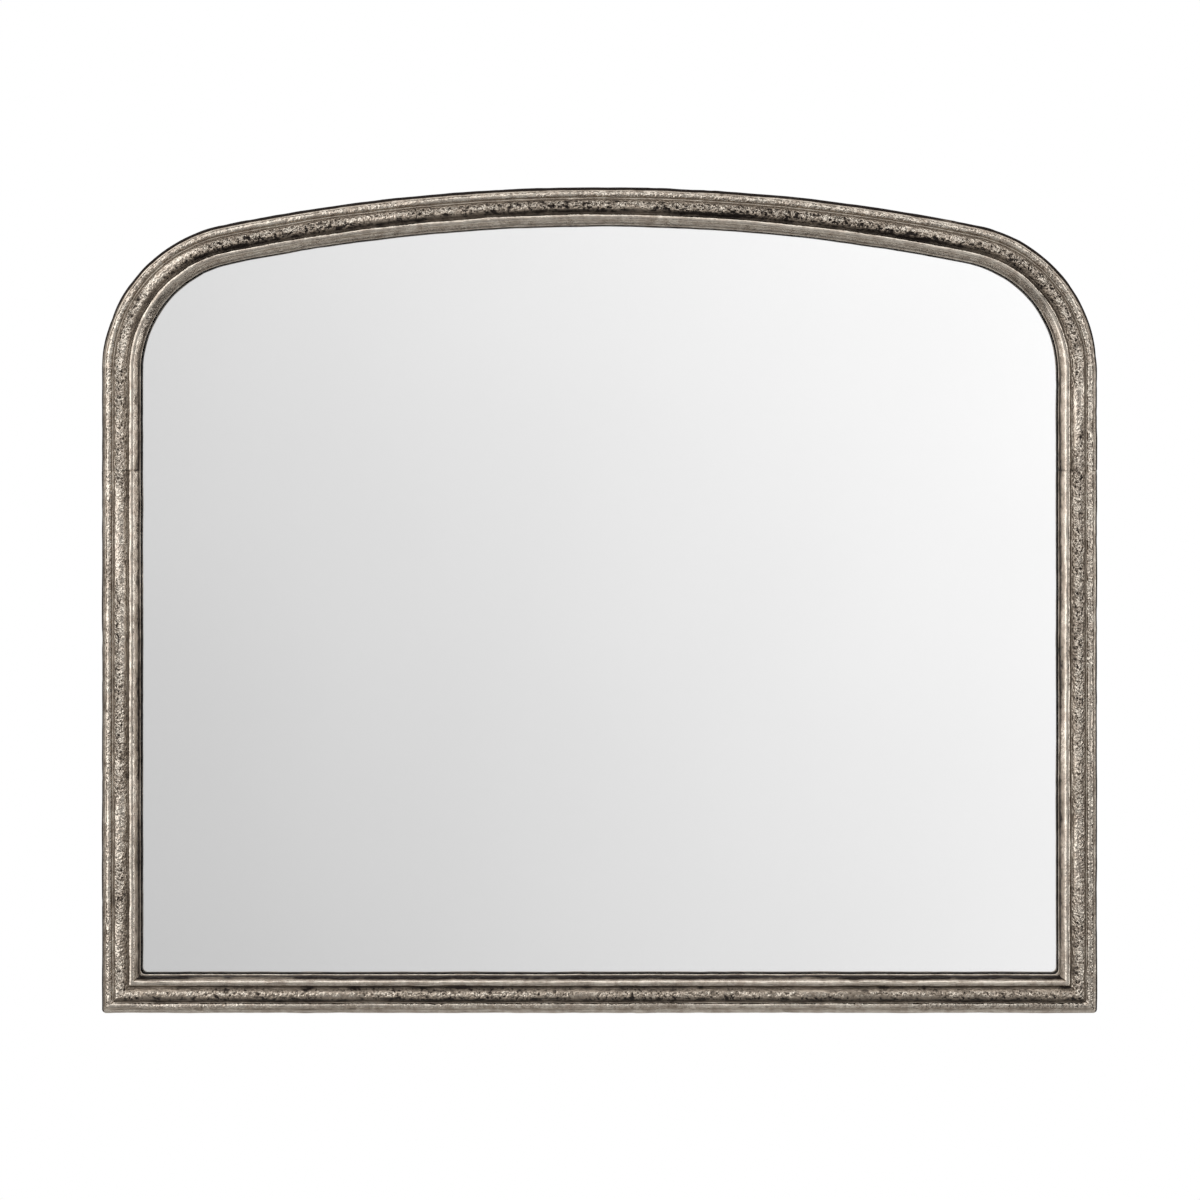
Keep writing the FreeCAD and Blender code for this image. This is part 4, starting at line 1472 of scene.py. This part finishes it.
@dataclass
class Studio:
    """A plain studio: a pale floor, a white background and a soft light tent in front of the mirror."""

    picture_width: float = 1.0 * 1200 / 995  # the mirror is a metre wide, and takes 995 of 1200 pixels
    sensor: float = 36.0
    distance: float = 1.8
    front_plane: float = -29 * MM
    middle: float = -225 * MM
    eye_aside: float = 0.5 * MM
    eye_rise: float = 100 * MM
    soft_light: float = 0.85
    floor_colour: str = "#ebeae8"
    floor_level: float = -1.75
    floor_radius: float = 2.2
    floor_plain: float = 0.4
    floor_steps: int = 96
    tent_radius: float = 3.4
    tent_reach: Span = (152.0, 89.9)
    tent_steps: tuple[int, int] = (153, 91)
    panel: SoftBox = SoftBox(1.0, (-40, -26, 26, 40), (-40, -28, 16, 30))
    panel_grade: Triple = (0.912, 0.0076, 0.0053)  # straight ahead, and for each degree to the right and up
    boxes: tuple[SoftBox, ...] = (  # left, right and overhead
        SoftBox(3.069, (-92, -78, -40, -28), (-40, -12, 48, 64)),
        SoftBox(3.3, (52, 60, 74, 86), (-40, -12, 48, 64)),
        SoftBox(2.25, (-80, -55, 55, 80), (26, 40, 74, 86)),
    )
    dim: float = 0.05
    pale: float = 0.7
    ground: Span = (-40, -60)  # elevation from dim to pale
    behind: Span = (100, 125)  # azimuth from dim to pale
    lamp_size: float = 2.4
    lamp_watts: float = 60.0
    lamp_place: Triple = (-1.2, -2.2, 2.0)
    lamp_tilt: float = 48.0
    lamp_swing: float = -28.0

    def build_camera(self) -> None:
        """A level camera, a little above the middle, whose shift brings the mirror back to the middle."""
        data = bpy.data.cameras.new("camera")
        data.sensor_width = self.sensor
        data.lens = self.sensor * self.distance / self.picture_width
        data.shift_y = -self.eye_rise / self.picture_width
        camera = in_scene("camera", data)
        camera.location = (self.eye_aside, self.front_plane - self.distance, self.middle + self.eye_rise)
        camera.rotation_euler = (math.pi / 2, 0.0, 0.0)
        bpy.context.scene.camera = camera

    def build_world(self) -> None:
        """White to the eye and in reflections, and an even soft light on the rest."""
        world = bpy.data.worlds.new("studio")
        tree = bare_tree(world)
        seen = add_node(tree, "LightPath", out="Is Camera Ray")
        rays = seen.node.outputs
        for kind in ("Is Glossy Ray", "Is Transmission Ray"):
            seen = add_node(tree, "Math", {0: seen, 1: rays[kind]}, operation="MAXIMUM")
        light, white = (
            add_node(tree, "Background", {"Color": WHITE, "Strength": strength})
            for strength in (self.soft_light, 1.0)
        )
        mixed = add_node(tree, "MixShader", {0: seen, 1: light, 2: white})
        add_node(tree, "OutputWorld", {"Surface": mixed})
        bpy.context.scene.world = world

    def glow(self, azimuth: Array, elevation: Array) -> Array:
        """Brightness of the tent in each direction.

        A wide front panel brightens evenly from the lower left to the upper right. A wide soft box stands on
        the left, a narrow one on the right, and one hangs overhead; the strongest counts where they meet. The
        ground and what lies behind the mirror are pale, and the rest is dim.

        Args:
            azimuth: Degrees to the viewer's right of straight ahead.
            elevation: Degrees above the horizon.

        Returns:
            The brightness, where 1 is white.
        """
        panel = self.panel.share(azimuth, elevation)
        ahead, per_right, per_up = self.panel_grade
        graded = ahead + per_right * azimuth + per_up * elevation
        lights = np.maximum.reduce([box.strength * box.share(azimuth, elevation) for box in self.boxes])
        pale = np.maximum(smoothstep(*self.ground, elevation), smoothstep(*self.behind, np.abs(azimuth)))
        return self.dim * (1 - panel) + panel * graded + lights + self.pale * pale

    def build_tent(self) -> None:
        """A sphere's patch round the front, lit by its own glow, that only metal and glass see."""
        sweeps = (np.linspace(-reach, reach, steps) for reach, steps in zip(self.tent_reach, self.tent_steps))
        azimuth, elevation = np.meshgrid(*sweeps)
        a, e = np.radians(azimuth), np.radians(elevation)
        spoke = np.stack([np.sin(a) * np.cos(e), -np.cos(a) * np.cos(e), np.sin(e)], -1)
        points = (np.array([0.0, 0.0, self.middle]) + self.tent_radius * spoke).reshape(-1, 3)
        mesh = bpy.data.meshes.new("light_tent")
        mesh.from_pydata(points.tolist(), [], grid_faces(*azimuth.shape, closed=False))
        values = self.glow(azimuth, elevation).astype(np.float32).ravel()
        mesh.attributes.new("glow", "FLOAT", "POINT").data.foreach_set("value", values)
        cloth = bpy.data.materials.new("tent_cloth")
        tree = bare_tree(cloth)
        glow = add_node(tree, "Attribute", out="Fac", attribute_name="glow")
        light = add_node(tree, "Emission", {"Color": WHITE, "Strength": glow})
        add_node(tree, "OutputMaterial", {"Surface": light})
        cloth.cycles.emission_sampling = "NONE"
        mesh.materials.append(cloth)
        tent = in_scene("light_tent", mesh)
        tent.visible_camera = False
        tent.visible_diffuse = False
        tent.visible_shadow = False

    def build_key(self) -> None:
        """A large soft lamp, high in front and a little to the left, for all that is not metal or glass."""
        data = bpy.data.lights.new("key_lamp", "AREA")
        data.shape = "DISK"
        data.size = self.lamp_size
        data.energy = self.lamp_watts
        lamp = in_scene("key_lamp", data)
        lamp.location = self.lamp_place
        lamp.rotation_euler = (math.radians(self.lamp_tilt), 0.0, math.radians(self.lamp_swing))
        lamp.visible_glossy = False
        lamp.visible_transmission = False

    def build_floor(self) -> None:
        """A pale round floor well below the mirror, whose rim fades into the white background."""
        rim = self.floor_radius * spokes(circle(self.floor_steps))
        points = np.insert(rim, 2, self.floor_level, axis=1)
        mesh = bpy.data.meshes.new("floor")
        mesh.from_pydata(points.tolist(), [], [list(range(self.floor_steps))])
        pale = bpy.data.materials.new("pale_floor")
        tree = bare_tree(pale)
        place = add_node(tree, "TexCoord", out="Object")
        flat = add_node(tree, "VectorMath", {0: place, 1: (1.0, 1.0, 0.0)}, operation="MULTIPLY")
        radius = add_node(tree, "VectorMath", {0: flat}, "Value", operation="LENGTH")
        fading = {"Value": radius, "From Min": self.floor_plain, "From Max": self.floor_radius}
        fade = add_node(tree, "MapRange", fading, interpolation_type="SMOOTHSTEP")
        matt = add_node(tree, "BsdfDiffuse", {"Color": linear(self.floor_colour)})
        clear = add_node(tree, "BsdfTransparent")
        mixed = add_node(tree, "MixShader", {0: fade, 1: matt, 2: clear})
        add_node(tree, "OutputMaterial", {"Surface": mixed})
        mesh.materials.append(pale)
        floor = in_scene("floor", mesh)

    def build(self) -> None:
        """Set up the studio."""
        bpy.context.scene.view_settings.view_transform = "Standard"
        self.build_camera()
        self.build_world()
        self.build_tent()
        self.build_key()
        self.build_floor()


def main() -> None:
    """Build the mirror's looks and its studio, in order."""
    logging.basicConfig(level=logging.INFO, format="%(message)s")
    CastFrame().build()
    GlassPack().build()
    Back().build()
    Studio().build()


if __name__ == "__main__":
    main()
